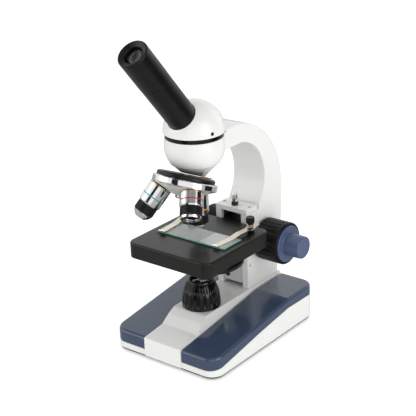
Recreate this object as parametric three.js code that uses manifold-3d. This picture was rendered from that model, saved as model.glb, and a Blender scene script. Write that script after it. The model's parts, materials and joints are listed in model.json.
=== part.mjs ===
// A student microscope: a die-cast arm on a wedge base with a lamp, a swivelling monocular head,
// a tilted three-objective nosepiece and a stage that coaxial knobs move up and down.
// Millimetres, +Z up. The optical axis is the line x = 0, y = 0 of the inner group, the feet stand on
// z = 0, the front is -Y and the focus knobs lie along X. The outer group's origin is the middle of
// the footprint of the whole instrument.
import * as THREE from "three";
import { mergeVertices } from "three/addons/utils/BufferGeometryUtils.js";
import Module from "manifold-3d";

const wasm = await Module();
wasm.setup();

// ---------- driving dimensions ----------
const GAP = 0.3; // clearance between touching pieces
const ROUND = 24; // sides of a large round surface
const SMALL = 12; // sides of a boss, a pin or a bore
const TINY = 8; // sides of a screw shank
const HEXAGON = 6;
const degrees = (value) => (value * Math.PI) / 180;

const BASE_WIDTH = 114.3;
const BASE_FRONT = -55.8;
const BASE_BACK = 97.8;
const BASE_CORNER = 12;
const FOOT_HEIGHT = 1.7;
const PLATE_THICKNESS = 1.4;
const SHELL_WALL = 2.6;
const SPINE_HALF_WIDTH = 20.5;
const SPINE_TOP_HALF_WIDTH = 17.8;
const SPINE_TOP = 36.8;

const ARM_HALF_WIDTH = 17.5;
const ARM_BACK = 104.6;
const COLUMN_FRONT = 47.3;
const COLUMN_TOP = 110;
const CAP_TOP = 114.5;
const CHANNEL_HALF_WIDTH = 11.2;
const CHANNEL_BACK = 64.5;
const ARCH_Y = 39; // centre of the opening under the gooseneck
const ARCH_Z = 140.5;
const ARCH_DEPTH = 37.3; // its half widths
const ARCH_HEIGHT = 39.7;
const GOOSENECK_Y = 31.3; // centre of the outer curve
const GOOSENECK_Z = 125;
const GOOSENECK_OUTER = ARM_BACK - GOOSENECK_Y;
const GOOSENECK_END = 18; // how near the optical axis the gooseneck reaches

const HEAD_PARTING = 195.8; // top of the fixed cup
const CUP_RADIUS = 26.3;
const CUP_CENTRE = 187.5;
const CUP_NECK = 13.6;
const RING_RADIUS = 25.4;
const RING_THICKNESS = 3.3;
const DOME_RADIUS = 26.7;
const DOME_CENTRE = 200.7;
const LIGHT_BORE = 9;

const TUBE_ANGLE = degrees(49.7); // above the horizontal
const TUBE_PIVOT = 198.4; // height where the tube's axis meets the optical axis
const TUBE_RADIUS = 13.25;
const TUBE_START = 21;
const TUBE_SEAM = 74;
const TUBE_LENGTH = 110.5;
const EYEPIECE_BARREL = 11.6;

const TURRET_TILT = degrees(23);
const TURRET_APEX = 193.5; // where the turret's axis and every objective's axis meet
const TURRET_RADIUS = 28.3;
const SHOULDER = 49.2; // from the apex down to the objectives' seats

const STAGE_SIDE = 90;
const STAGE_TOP = 103.3;
const STAGE_THICKNESS = 12;
const STAGE_DECK = 5;
const STAGE_CORNER = 8;
const CLIP_X = 33.3;
const CLIP_Y = 31.6;
const DISC_X = 17;
const DISC_Y = -7.2;
const DISC_RADIUS = 30.2;
const DISC_TOP = 88.6;

const SHAFT_Y = 73;
const SHAFT_Z = 79.6;
const GEAR_MODULE = 1;
const PINION_TEETH = 16;
const TRAVEL_UP = 6; // of the stage, from where it is drawn
const TRAVEL_DOWN = 18;
const COARSE_RADIUS = 19.6;
const COARSE_INNER = 19;
const COARSE_OUTER = 44.6;
const FINE_FLANGE = 17;
const FINE_END = 61.8;

const EYEPIECE_FRONT =
  -TUBE_LENGTH * Math.cos(TUBE_ANGLE) - TUBE_RADIUS * Math.sin(TUBE_ANGLE);
const AXIS_Y = -(ARM_BACK + EYEPIECE_FRONT) / 2; // optical axis, from the middle of the footprint

// ---------- finishes ----------
const finish = (color, roughness, metalness) => () =>
  new THREE.MeshStandardMaterial({ color, roughness, metalness });
const whitePaint = finish(0xe9e9e6, 0.35, 0);
const bluePaint = finish(0x3c4b6b, 0.3, 0);
const blackPaint = finish(0x1b1b1d, 0.5, 0.1);
const blackPlastic = finish(0x121213, 0.4, 0);
const chrome = finish(0xd9dadc, 0.12, 1);
const brass = finish(0xb08d57, 0.3, 1);
const steel = finish(0xa6a8ab, 0.3, 1);
const rubber = finish(0x1a1a1a, 0.9, 0);
const glass = finish(0xcfe6df, 0.05, 0);

// ---------- solids ----------
// A closed geometry as a manifold solid, for cutting and joining.
function solidOf(geometry) {
  const bare = geometry.clone();
  bare.deleteAttribute("normal");
  bare.deleteAttribute("uv");
  const merged = mergeVertices(bare, 1e-4);
  const vertProperties = new Float32Array(merged.attributes.position.array);
  const triVerts = new Uint32Array(merged.index.array);
  return new wasm.Manifold(new wasm.Mesh({ numProp: 3, vertProperties, triVerts }));
}

function geometryOf(solid) {
  const mesh = solid.getMesh();
  const geometry = new THREE.BufferGeometry();
  geometry.setAttribute("position", new THREE.BufferAttribute(new Float32Array(mesh.vertProperties), 3));
  geometry.setIndex(new THREE.BufferAttribute(new Uint32Array(mesh.triVerts), 1));
  geometry.computeVertexNormals();
  return geometry;
}

function join(...geometries) {
  return geometryOf(geometries.map(solidOf).reduce((a, b) => a.add(b)));
}

function cut(geometry, ...tools) {
  return geometryOf(tools.map(solidOf).reduce((a, b) => a.subtract(b), solidOf(geometry)));
}

function common(a, b) {
  return geometryOf(solidOf(a).intersect(solidOf(b)));
}

// A box from its lowest to its highest corner.
function block(x0, x1, y0, y1, z0, z1) {
  const geometry = new THREE.BoxGeometry(x1 - x0, y1 - y0, z1 - z0);
  return geometry.translate((x0 + x1) / 2, (y0 + y1) / 2, (z0 + z1) / 2);
}

// A solid turned about Z from [radius, height] points, bottom to top, starting and ending on the axis
// or closing on itself.
function turned(points, segments = ROUND) {
  const profile = points.map(([radius, height]) => new THREE.Vector2(radius, height));
  return new THREE.LatheGeometry(profile, segments).rotateX(Math.PI / 2);
}

// A plain round bar along Z.
function bar(radius, z0, z1, segments = SMALL) {
  return turned([[0, z0], [radius, z0], [radius, z1], [0, z1]], segments);
}

// A round tube along Z.
function pipe(outer, inner, z0, z1, segments = ROUND) {
  return turned([[inner, z0], [outer, z0], [outer, z1], [inner, z1], [inner, z0]], segments);
}

// What was built along Z, laid along X.
const alongX = (geometry) => geometry.rotateY(Math.PI / 2);
// What was built along Z, laid along -Y.
const alongFront = (geometry) => geometry.rotateX(Math.PI / 2);

// An outline in (x, y) raised from z0 to z1.
function raised(shape, z0, z1, curveSegments = 6) {
  const settings = { depth: z1 - z0, bevelEnabled: false, curveSegments };
  return new THREE.ExtrudeGeometry(shape, settings).translate(0, 0, z0);
}

const SIDEWAYS = new THREE.Matrix4().makeBasis(
  new THREE.Vector3(0, 1, 0),
  new THREE.Vector3(0, 0, 1),
  new THREE.Vector3(1, 0, 0),
);
// An outline in (y, z) extruded along X from x0 to x1.
function sideways(shape, x0, x1, curveSegments = 12) {
  const settings = { depth: x1 - x0, bevelEnabled: false, curveSegments };
  return new THREE.ExtrudeGeometry(shape, settings).applyMatrix4(SIDEWAYS).translate(x0, 0, 0);
}

const FRONTWAYS = new THREE.Matrix4().makeBasis(
  new THREE.Vector3(1, 0, 0),
  new THREE.Vector3(0, 0, 1),
  new THREE.Vector3(0, -1, 0),
);
// An outline in (x, z) extruded along -Y from y1 to y0.
function frontways(shape, y0, y1) {
  const settings = { depth: y1 - y0, bevelEnabled: false };
  return new THREE.ExtrudeGeometry(shape, settings).applyMatrix4(FRONTWAYS).translate(0, y1, 0);
}

function polygon(points) {
  return new THREE.Shape(points.map(([a, b]) => new THREE.Vector2(a, b)));
}

function roundedRectangle(x0, x1, y0, y1, radius) {
  const shape = new THREE.Shape();
  shape.moveTo(x0 + radius, y0);
  shape.lineTo(x1 - radius, y0);
  shape.absarc(x1 - radius, y0 + radius, radius, -Math.PI / 2, 0, false);
  shape.lineTo(x1, y1 - radius);
  shape.absarc(x1 - radius, y1 - radius, radius, 0, Math.PI / 2, false);
  shape.lineTo(x0 + radius, y1);
  shape.absarc(x0 + radius, y1 - radius, radius, Math.PI / 2, Math.PI, false);
  shape.lineTo(x0, y0 + radius);
  shape.absarc(x0 + radius, y0 + radius, radius, Math.PI, 1.5 * Math.PI, false);
  return shape;
}

function piece(name, geometry, material) {
  const mesh = new THREE.Mesh(geometry, material());
  mesh.name = name;
  return mesh;
}

function groupOf(...children) {
  const group = new THREE.Group();
  group.add(...children);
  return group;
}

// ---------- base ----------
const HALF_BASE = BASE_WIDTH / 2;
const PLATE_BOTTOM = FOOT_HEIGHT + GAP;
const SHELL_BOTTOM = PLATE_BOTTOM + PLATE_THICKNESS + GAP;
// heights of the white body's shoulder and of the coloured panels' top, from front to back
const SHOULDER_LINE = [[-70, 7], [9.8, 20], [54.4, 25.9], [120, 24.9]];
const PANEL_LINE = [[-70, 19.1], [56, 34.7], [120, 35.5]];
const SPINE_LINE = [[-56.6, 21.3], [-32, 24.2], [-24, 32], [-17, SPINE_TOP], [BASE_BACK, SPINE_TOP]];

const under = (line, drop, floor) =>
  polygon([
    [line[0][0], floor],
    ...line.map(([y, z]) => [y, z - drop]),
    [line[line.length - 1][0], floor],
  ].reverse());

function baseOutline(inset) {
  return roundedRectangle(
    -HALF_BASE + inset,
    HALF_BASE - inset,
    BASE_FRONT + inset,
    BASE_BACK - inset,
    BASE_CORNER - inset,
  );
}

// The raised middle of the base: straight sides up to the panels, then leaning in to the top.
function spine(inset, drop, bottom) {
  const half = SPINE_HALF_WIDTH - inset;
  const topHalf = SPINE_TOP_HALF_WIDTH - inset;
  const section = polygon([
    [-half, bottom],
    [half, bottom],
    [half, 24],
    [topHalf, SPINE_TOP + 1],
    [-topHalf, SPINE_TOP + 1],
    [-half, 24],
  ]);
  const side = under(SPINE_LINE, drop, bottom);
  return common(frontways(section, BASE_FRONT - 3 + inset, BASE_BACK - inset), sideways(side, -30, 30));
}

const SWITCH_X = 26;
const INLET_X = -26;
const REAR_Z = 14;

function baseShell() {
  const body = common(
    raised(baseOutline(0), SHELL_BOTTOM, 60, 4),
    sideways(under(SHOULDER_LINE, GAP / 2, 0), -60, 60),
  );
  const hollow = common(
    raised(baseOutline(SHELL_WALL), 0, 60, 4),
    sideways(under(SHOULDER_LINE, SHELL_WALL, -1), -60, 60),
  );
  return cut(
    join(body, spine(0, 0, SHELL_BOTTOM)),
    hollow,
    spine(SHELL_WALL, SHELL_WALL, -1),
    bar(9, 20, 40),
    block(SWITCH_X - 7, SWITCH_X + 7, BASE_BACK - 6, BASE_BACK + 2, REAR_Z - 5, REAR_Z + 5),
    alongFront(bar(4.3, -BASE_BACK - 2, -BASE_BACK + 6, SMALL)).translate(INLET_X, 0, REAR_Z),
  );
}

function basePanel(side) {
  const panel = common(
    raised(baseOutline(0), 0, 60, 4),
    sideways(under(PANEL_LINE, 0, 0), -60, 60),
  );
  const inner = side * (SPINE_HALF_WIDTH + GAP);
  const keep = block(Math.min(inner, side * 70), Math.max(inner, side * 70), -80, 120, -1, 70);
  const below = sideways(under(SHOULDER_LINE, -GAP / 2, -5), -80, 80);
  return cut(common(panel, keep), below);
}

const DOOR = { x0: -30, x1: 30, y0: 20, y1: 56 };

function basePlate() {
  const outline = baseOutline(0.8);
  const opening = block(DOOR.x0 - GAP, DOOR.x1 + GAP, DOOR.y0 - GAP, DOOR.y1 + GAP, 0, 9);
  return cut(raised(outline, PLATE_BOTTOM, PLATE_BOTTOM + PLATE_THICKNESS, 4), opening);
}

function batteryDoor() {
  const outline = roundedRectangle(DOOR.x0, DOOR.x1, DOOR.y0, DOOR.y1, 2);
  return raised(outline, PLATE_BOTTOM, PLATE_BOTTOM + PLATE_THICKNESS, 2);
}

function foot() {
  return turned([[0, 0], [6, 0], [6.6, 0.6], [6.6, FOOT_HEIGHT], [0, FOOT_HEIGHT]], SMALL);
}

function powerSwitch() {
  const rocker = polygon([[-6.2, -3.6], [6.2, -3.6], [6.2, 3.6], [-6.2, 3.6]]);
  return frontways(rocker, -1.2, 3.2).translate(SWITCH_X, BASE_BACK - 1.8, REAR_Z);
}

function powerInlet() {
  const barrel = pipe(4, 2.6, -1, 9, SMALL);
  const pin = bar(0.9, -1, 7, TINY);
  const back = bar(4, -1, 0.4, SMALL);
  const socket = alongFront(join(barrel, pin, back)).rotateZ(Math.PI);
  return socket.translate(INLET_X, BASE_BACK - 8.4, REAR_Z);
}

const FEET = [
  ["foot_front_left", -46, -44],
  ["foot_front_right", 46, -44],
  ["foot_back_left", -46, 86],
  ["foot_back_right", 46, 86],
];

function base() {
  const group = groupOf(
    piece("base_shell", baseShell(), whitePaint),
    piece("base_panel_left", basePanel(-1), bluePaint),
    piece("base_panel_right", basePanel(1), bluePaint),
    piece("base_plate", basePlate(), blackPaint),
    piece("battery_door", batteryDoor(), blackPlastic),
    piece("power_switch", powerSwitch(), blackPlastic),
    piece("power_inlet", powerInlet(), blackPlastic),
  );
  for (const [name, x, y] of FEET) {
    const mesh = piece(name, foot(), rubber);
    mesh.position.set(x, y, 0);
    group.add(mesh);
  }
  return group;
}

// ---------- lamp ----------
const LAMP_BOTTOM = SPINE_TOP + GAP;
const LAMP_PROFILE = [
  [17.5, 0],
  [17.5, 3],
  [17.1, 9],
  [15.8, 16],
  [13.9, 21.2],
  [11.3, 24.4],
  [10.4, 25.2],
];

function lampHousing() {
  const outer = LAMP_PROFILE.map(([radius, height]) => [radius, LAMP_BOTTOM + height]);
  const inner = [[8.6, 62.3], [8.6, 58.4], [11, 56], [14.5, 46], [15, 37.1], [17.5, 37.1]];
  return turned([...outer, ...inner], ROUND);
}

function lampLens() {
  return turned([[0, 58.8], [8.3, 58.8], [8.3, 59.6], [6, 60.4], [0, 60.9]], SMALL);
}

function ledBoard() {
  const board = bar(12, 38, 39.6, SMALL);
  return join(board, bar(3, 39.4, 41.2, TINY), bar(1.6, 41, 42.4, TINY));
}

function lamp() {
  return groupOf(
    piece("lamp_housing", lampHousing(), blackPlastic),
    piece("lamp_lens", lampLens(), glass),
    piece("led_board", ledBoard(), whitePaint),
  );
}

// ---------- arm ----------
// The arm's side outline: a straight column with an arch that swings forward over the stage.
function armOutline() {
  const foldAngle = Math.asin((CAP_TOP - ARCH_Z) / ARCH_HEIGHT);
  const shape = new THREE.Shape();
  shape.moveTo(COLUMN_FRONT, SPINE_TOP + GAP);
  shape.lineTo(95, SPINE_TOP + GAP);
  shape.lineTo(101, 92);
  shape.lineTo(ARM_BACK, GOOSENECK_Z);
  shape.absarc(GOOSENECK_Y, GOOSENECK_Z, GOOSENECK_OUTER, 0, Math.PI / 2, false);
  shape.lineTo(GOOSENECK_END, GOOSENECK_Z + GOOSENECK_OUTER);
  shape.lineTo(GOOSENECK_END, ARCH_Z + ARCH_HEIGHT);
  shape.lineTo(ARCH_Y, ARCH_Z + ARCH_HEIGHT);
  shape.absellipse(ARCH_Y, ARCH_Z, ARCH_DEPTH, ARCH_HEIGHT, Math.PI / 2, foldAngle, true, 0);
  shape.lineTo(66, COLUMN_TOP);
  shape.lineTo(COLUMN_FRONT, COLUMN_TOP);
  return shape;
}

// The bowl under the head, open down the middle for the light.
function headCup() {
  const points = [[0, 150], [CUP_NECK, 150]];
  const steps = 5;
  const lowest = Math.acos(CUP_NECK / CUP_RADIUS);
  for (let i = 0; i <= steps; i++) {
    const angle = -lowest * (1 - i / steps);
    points.push([CUP_RADIUS * Math.cos(angle), CUP_CENTRE + CUP_RADIUS * Math.sin(angle)]);
  }
  points.push([26, HEAD_PARTING], [0, HEAD_PARTING]);
  return turned(points, ROUND);
}

// Everything below the tilted seat of the nosepiece.
const PLATE_SEAT = 30.7;
function belowSeat(clearance) {
  const slab = block(-45, 45, -60, 60, -PLATE_SEAT - 60, -PLATE_SEAT + clearance);
  return slab.rotateX(-TURRET_TILT).translate(0, 0, TURRET_APEX);
}

function arm() {
  const body = sideways(armOutline(), -ARM_HALF_WIDTH, ARM_HALF_WIDTH, 12);
  const channel = block(
    -CHANNEL_HALF_WIDTH, CHANNEL_HALF_WIDTH, COLUMN_FRONT - 5, CHANNEL_BACK, 30, COLUMN_TOP + 5,
  );
  const rackSlot = block(-5.2, 5.2, 60, 66.8, 30, COLUMN_TOP + 5);
  const headRoom = bar(DOME_RADIUS + 0.8, HEAD_PARTING, 220, ROUND);
  const pocket = alongX(bar(10, -7, 7, ROUND)).translate(0, SHAFT_Y, SHAFT_Z);
  const shaftBore = alongX(bar(5.5, -30, 30, SMALL)).translate(0, SHAFT_Y, SHAFT_Z);
  const setScrewHole = alongX(bar(1.4, ARM_HALF_WIDTH - 4, ARM_HALF_WIDTH + 4, TINY));
  setScrewHole.translate(0, 50.6, 59.6);
  const lightPath = bar(LIGHT_BORE, 140, 230, ROUND);
  const cup = cut(headCup(), belowSeat(0));
  const casting = join(body, cup);
  return cut(casting, headRoom, channel, rackSlot, pocket, shaftBore, setScrewHole, lightPath);
}

const CAP_SCREWS = [["cap_screw_left", -13.8, 56.6], ["cap_screw_right", 13.8, 56.6]];
const STOP_Y = 53.7;

function gearboxCap() {
  const outline = roundedRectangle(-ARM_HALF_WIDTH, ARM_HALF_WIDTH, COLUMN_FRONT, 64.4, 1);
  const plate = raised(outline, COLUMN_TOP + GAP, CAP_TOP, 2);
  const holes = CAP_SCREWS.map(([, x, y]) => bar(1.8, 100, 120, TINY).translate(x, y, 0));
  return cut(plate, ...holes, bar(2.3, 100, 120, SMALL).translate(0, STOP_Y, 0));
}

function capScrew() {
  const slot = block(-2, 2, -0.3, 0.3, CAP_TOP - 1, CAP_TOP);
  return cut(bar(1.5, COLUMN_TOP + 0.6, CAP_TOP - 0.4, TINY), slot);
}

function stopScrew() {
  const shank = bar(2, 109.4, 119, SMALL);
  const head = turned([[0, 118.4], [2.8, 118.4], [2.8, 125], [2.4, 125.5], [0, 125.5]], SMALL);
  return join(shank, head);
}

function stopNut() {
  return pipe(3.4, 2.3, CAP_TOP + GAP, 118, HEXAGON);
}

function columnCover() {
  const plate = block(-10.8, 10.8, COLUMN_FRONT + 0.5, COLUMN_FRONT + 2.1, 41, 66);
  return cut(plate, alongFront(bar(1.7, -60, -40, TINY)).translate(-6, 0, 47));
}

function coverScrew() {
  const head = turned([[0, 0], [2.4, 0], [2, 1.1], [0, 1.3]], SMALL);
  return alongFront(join(head, bar(1.4, -2.2, 0.2, TINY))).translate(-6, COLUMN_FRONT + 0.2, 47);
}

// The fixed guide that lines the channel: two rails joined by a bridge at the foot.
function slideway() {
  const rails = [-1, 1].map((side) => {
    const inner = side * 8.8;
    const outer = side * (CHANNEL_HALF_WIDTH - GAP);
    return block(Math.min(inner, outer), Math.max(inner, outer), 51, 63, 42, 109.6);
  });
  const bridge = block(-CHANNEL_HALF_WIDTH + GAP, CHANNEL_HALF_WIDTH - GAP, 56, 63, 42, 44.4);
  return join(rails[0], rails[1], bridge);
}

function armGroup() {
  const group = groupOf(
    piece("arm", arm(), whitePaint),
    piece("gearbox_cap", gearboxCap(), whitePaint),
    piece("stop_nut", stopNut(), blackPaint),
    piece("column_cover", columnCover(), steel),
    piece("cover_screw", coverScrew(), blackPaint),
    piece("slideway", slideway(), blackPaint),
    piece("stop_screw", stopScrew(), chrome),
  );
  group.getObjectByName("stop_screw").position.y = STOP_Y;
  group.getObjectByName("stop_nut").position.y = STOP_Y;
  for (const [name, x, y] of CAP_SCREWS) {
    const screw = piece(name, capScrew(), steel);
    screw.position.set(x, y, 0);
    group.add(screw);
  }
  return group;
}

// ---------- focus drive ----------
const PINION_PITCH = (GEAR_MODULE * PINION_TEETH) / 2;
const TOOTH_HEIGHT = 0.85 * GEAR_MODULE;
const TOOTH_DEPTH = 1.15 * GEAR_MODULE;
const RACK_PITCH = Math.PI * GEAR_MODULE;
const RACK_LINE = SHAFT_Y - PINION_PITCH;

function pinionShaft() {
  const shape = new THREE.Shape();
  const tooth = (2 * Math.PI) / PINION_TEETH;
  for (let i = 0; i < PINION_TEETH; i++) {
    // tooth 0 points along -Y, into the rack
    const middle = i * tooth - Math.PI / 2;
    const corners = [
      [PINION_PITCH - TOOTH_DEPTH, -0.32],
      [PINION_PITCH + TOOTH_HEIGHT, -0.08],
      [PINION_PITCH + TOOTH_HEIGHT, 0.08],
      [PINION_PITCH - TOOTH_DEPTH, 0.32],
    ];
    for (const [radius, share] of corners) {
      const angle = middle + share * tooth;
      const point = [radius * Math.cos(angle), radius * Math.sin(angle)];
      if (i === 0 && share === -0.32) shape.moveTo(...point);
      else shape.lineTo(...point);
    }
  }
  const gear = alongX(raised(shape, -5, 5).rotateZ(Math.PI / 2));
  const sleeve = alongX(bar(5.2, -25, 25, SMALL));
  return cut(join(gear, sleeve), alongX(bar(3.4, -30, 30, SMALL)));
}

function focusRack() {
  const bottom = SHAFT_Z - TRAVEL_UP - 5;
  const top = SHAFT_Z + TRAVEL_DOWN + 4.5;
  const root = RACK_LINE - TOOTH_HEIGHT - 0.3;
  const tip = RACK_LINE + TOOTH_DEPTH - 0.4;
  const points = [[root - 2.6, top], [root - 2.6, bottom]];
  // a gap between two teeth stands level with the shaft at rest
  const first = SHAFT_Z - 3.5 * RACK_PITCH;
  points.push([root, bottom]);
  for (let z = first; z < top - 0.6; z += RACK_PITCH) {
    points.push([root, z - 0.85], [tip, z - 0.3], [tip, z + 0.3], [root, z + 0.85]);
  }
  points.push([root, top]);
  return sideways(polygon(points), -4.5, 4.5);
}

function focusCarriage() {
  const blockUp = block(-8.5, 8.5, 50, 60.9, 64, 102.4);
  const bracket = block(-9, 9, 24, 51, 92, STAGE_TOP - STAGE_DECK - GAP);
  return join(blockUp, bracket);
}

function coarseKnob() {
  const points = [
    [5.5, COARSE_INNER],
    [18.6, COARSE_INNER],
    [COARSE_RADIUS, COARSE_INNER + 1],
    [COARSE_RADIUS, COARSE_OUTER - 1.4],
    [18.6, COARSE_OUTER],
    [FINE_FLANGE + 0.4, COARSE_OUTER],
    [FINE_FLANGE + 0.4, COARSE_OUTER - 1.8],
    [3.4, COARSE_OUTER - 1.8],
    [3.4, 26],
    [5.5, 26],
    [5.5, COARSE_INNER],
  ];
  return alongX(turned(points, ROUND));
}

function fineKnob() {
  const points = [
    [0, FINE_END],
    [0, 58],
    [3.1, 58],
    [3.1, COARSE_OUTER - 1.5],
    [FINE_FLANGE, COARSE_OUTER - 1.5],
    [FINE_FLANGE, COARSE_OUTER + 0.9],
    [16, COARSE_OUTER + 1.7],
    [11.4, COARSE_OUTER + 1.7],
    [10.6, 60.6],
    [9.6, FINE_END],
    [0, FINE_END],
  ];
  return alongX(turned(points, ROUND));
}

function focusDrive() {
  const parts = [
    piece("pinion_shaft", pinionShaft(), steel),
    piece("fine_shaft", alongX(bar(2.8, -57.5, 57.5, SMALL)), steel),
    piece("coarse_knob_right", coarseKnob(), blackPlastic),
    piece("fine_knob_right", fineKnob(), bluePaint),
    piece("coarse_knob_left", coarseKnob().rotateZ(Math.PI), blackPlastic),
    piece("fine_knob_left", fineKnob().rotateZ(Math.PI), bluePaint),
  ];
  const shaftLine = groupOf(...parts);
  shaftLine.position.set(0, SHAFT_Y, SHAFT_Z);
  return groupOf(
    shaftLine,
    piece("focus_rack", focusRack(), brass),
    piece("focus_carriage", focusCarriage(), blackPaint),
  );
}

// ---------- stage ----------
const STAGE_BOTTOM = STAGE_TOP - STAGE_THICKNESS;
const DECK_BOTTOM = STAGE_TOP - STAGE_DECK;
const SLIDE = { x0: -36.5, x1: 38.5, y0: -13.7, y1: 11.3, top: 104.8, thickness: 1.1 };

function stagePlate() {
  const half = STAGE_SIDE / 2;
  const rim = 4;
  const edge = roundedRectangle(-half, half, -half, half, STAGE_CORNER);
  const outer = raised(edge, STAGE_BOTTOM, STAGE_TOP, 5);
  const hollow = raised(
    roundedRectangle(-half + rim, half - rim, -half + rim, half - rim, STAGE_CORNER - rim),
    STAGE_BOTTOM - 2,
    DECK_BOTTOM,
    3,
  );
  const lensBoss = bar(13, DISC_TOP + 1, DECK_BOTTOM + 1, ROUND);
  const pivotBoss = bar(5, DISC_TOP + 0.4, DECK_BOTTOM + 1, SMALL).translate(DISC_X, DISC_Y, 0);
  const window = block(-9.4, 9.4, 30, 50, STAGE_BOTTOM - 2, DECK_BOTTOM);
  const posts = [-1, 1].map((side) => bar(2.3, 90, 110, SMALL).translate(side * CLIP_X, CLIP_Y, 0));
  return cut(
    join(cut(outer, hollow), lensBoss, pivotBoss),
    window,
    ...posts,
    bar(10.9, 80, 97, ROUND),
    bar(8, 80, 110, ROUND),
    bar(2.2, 80, 97.5, SMALL).translate(DISC_X, DISC_Y, 0),
  );
}

function condenserLens() {
  return turned([[0, 90.6], [10.6, 90.6], [10.6, 92], [8, 94.4], [4, 95.8], [0, 96.2]], ROUND);
}

const APERTURES = [5.5, 4.5, 3.5, 2.6, 1.8, 1.2]; // radii of the light stops

function diaphragmDisc() {
  const ring = Math.hypot(DISC_X, DISC_Y);
  const start = Math.atan2(-DISC_Y, -DISC_X); // the stop in use is on the optical axis
  const holes = APERTURES.map((radius, i) => {
    const angle = start + (i * 2 * Math.PI) / APERTURES.length;
    return bar(radius, 80, 95, SMALL).translate(ring * Math.cos(angle), ring * Math.sin(angle), 0);
  });
  return cut(bar(DISC_RADIUS, DISC_TOP - 2.6, DISC_TOP, ROUND), ...holes, bar(2.2, 80, 95, SMALL));
}

function diaphragmScrew() {
  const head = turned([[0, 83.2], [3.4, 83.2], [4.2, 84], [4.2, 85.7], [0, 85.7]], SMALL);
  return join(head, bar(1.9, 85, 97.2, SMALL));
}

// A leaf of spring steel that reaches forward from its post and rests on the slide; its tail turns up.
function clipLeaf() {
  const line = polygon([
    [4, 106.6], [9.6, 108.2], [9.3, 109], [3.8, 107.4], [-16, 107.4],
    [-27, 105.9], [-44, 105.9], [-46, 106.9],
    [-46.4, 106.2], [-44.2, 105.1], [-26.8, 105.1], [-15.8, 106.6],
  ].reverse());
  const eye = bar(4.4, 106.6, 107.4, SMALL);
  return cut(join(sideways(line, -3.1, 3.1), eye), bar(2.2, 100, 110, SMALL));
}

function clipPost() {
  const points = [
    [0, 97],
    [1.9, 97],
    [1.9, 103.6],
    [3.3, 103.6],
    [3.3, 106.2],
    [1.9, 106.2],
    [1.9, 111.8],
    [3.7, 112],
    [3.9, 112.6],
    [3.9, 117],
    [3.4, 117.8],
    [0, 117.8],
  ];
  return turned(points, SMALL);
}

function stage() {
  const group = groupOf(
    piece("stage_plate", stagePlate(), blackPaint),
    piece("condenser_lens", condenserLens(), glass),
    piece("diaphragm_disc", diaphragmDisc(), blackPaint),
    piece("diaphragm_screw", diaphragmScrew(), steel),
    piece(
      "glass_slide",
      block(SLIDE.x0, SLIDE.x1, SLIDE.y0, SLIDE.y1, SLIDE.top - SLIDE.thickness, SLIDE.top),
      glass,
    ),
  );
  group.getObjectByName("diaphragm_disc").position.set(DISC_X, DISC_Y, 0);
  group.getObjectByName("diaphragm_screw").position.set(DISC_X, DISC_Y, 0);
  for (const [word, side] of [["left", -1], ["right", 1]]) {
    const leaf = piece("clip_" + word, clipLeaf(), steel);
    const post = piece("clip_post_" + word, clipPost(), blackPlastic);
    leaf.position.set(side * CLIP_X, CLIP_Y, 0);
    leaf.rotation.z = degrees(-4.5 * side);
    post.position.set(side * CLIP_X, CLIP_Y, 0);
    group.add(leaf, post);
  }
  return group;
}

// ---------- nosepiece ----------
// Heights in this section are distances down the turret's axis from the apex, so they are negated.
const SEAT_DEPTH = SHOULDER * Math.cos(TURRET_TILT);
const SEAT_RADIUS = SHOULDER * Math.sin(TURRET_TILT);
const CONE = Math.tan(TURRET_TILT);
const coneDepth = (radius) => SEAT_DEPTH + (SEAT_RADIUS - radius) * CONE;
const OBJECTIVE_ANGLES = { objective_low: 120, objective_mid: 0, objective_high: -120 };

// What was built down an objective's axis, swung to its place round the turret.
function swing(geometry, angle) {
  return geometry.rotateX(TURRET_TILT).rotateZ(degrees(-angle));
}

function nosepiecePlate() {
  const top = PLATE_SEAT + 1.2;
  const plate = turned(
    [[0, -35.6], [25, -35.6], [25.4, -35], [25.4, -top - 1.2], [24.4, -top], [0, -top]],
    ROUND,
  );
  return cut(plate, swing(bar(8.4, -60, 0, SMALL), 0), bar(2.6, -50, -20, SMALL));
}

function turret() {
  const body = turned(
    [
      [0, -coneDepth(8)],
      [8, -coneDepth(8)],
      [TURRET_RADIUS - 0.4, -coneDepth(TURRET_RADIUS - 0.4)],
      [TURRET_RADIUS, -coneDepth(TURRET_RADIUS) + 0.6],
      [TURRET_RADIUS, -36.4],
      [TURRET_RADIUS - 0.5, -35.9],
      [0, -35.9],
    ],
    ROUND,
  );
  const bores = Object.values(OBJECTIVE_ANGLES).map((angle) => swing(bar(7.6, -70, -20, SMALL), angle));
  return cut(body, ...bores, bar(3.2, -80, -20, SMALL));
}

function turretScrew() {
  const bottom = coneDepth(8) + GAP;
  const profile = [
    [0, -bottom - 2.6],
    [5, -bottom - 2.6],
    [6, -bottom - 1.8],
    [6, -bottom],
    [0, -bottom],
  ];
  return join(turned(profile, SMALL), bar(2.3, -bottom - 0.5, -31.2, SMALL));
}

// The brass leaf at the back whose ball drops into the turret's notches.
function clickSpring() {
  const leaf = block(-6, 8, 22.2, 27.2, -31.6, -31);
  return join(leaf, block(-4, 6, 26.5, 27.2, -35.4, -31));
}

// from the apex along the objective's axis; tip is the nose's radius at its root and at its end
const OBJECTIVES = [
  { name: "objective_low", gripStart: 62.7, gripEnd: 70, end: 72.6, grip: 9.5, tip: [9.2, 8.8], mouth: 7.6 },
  { name: "objective_mid", gripStart: 68.4, gripEnd: 77, end: 80.2, grip: 9.3, tip: [8.6, 5.6], mouth: 3.6 },
  { name: "objective_high", gripStart: 68.8, gripEnd: 77, end: 82.2, grip: 9.1, tip: [8.7, 4.6], mouth: 2.2 },
];
const BARREL_RADIUS = 10.1;

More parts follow.
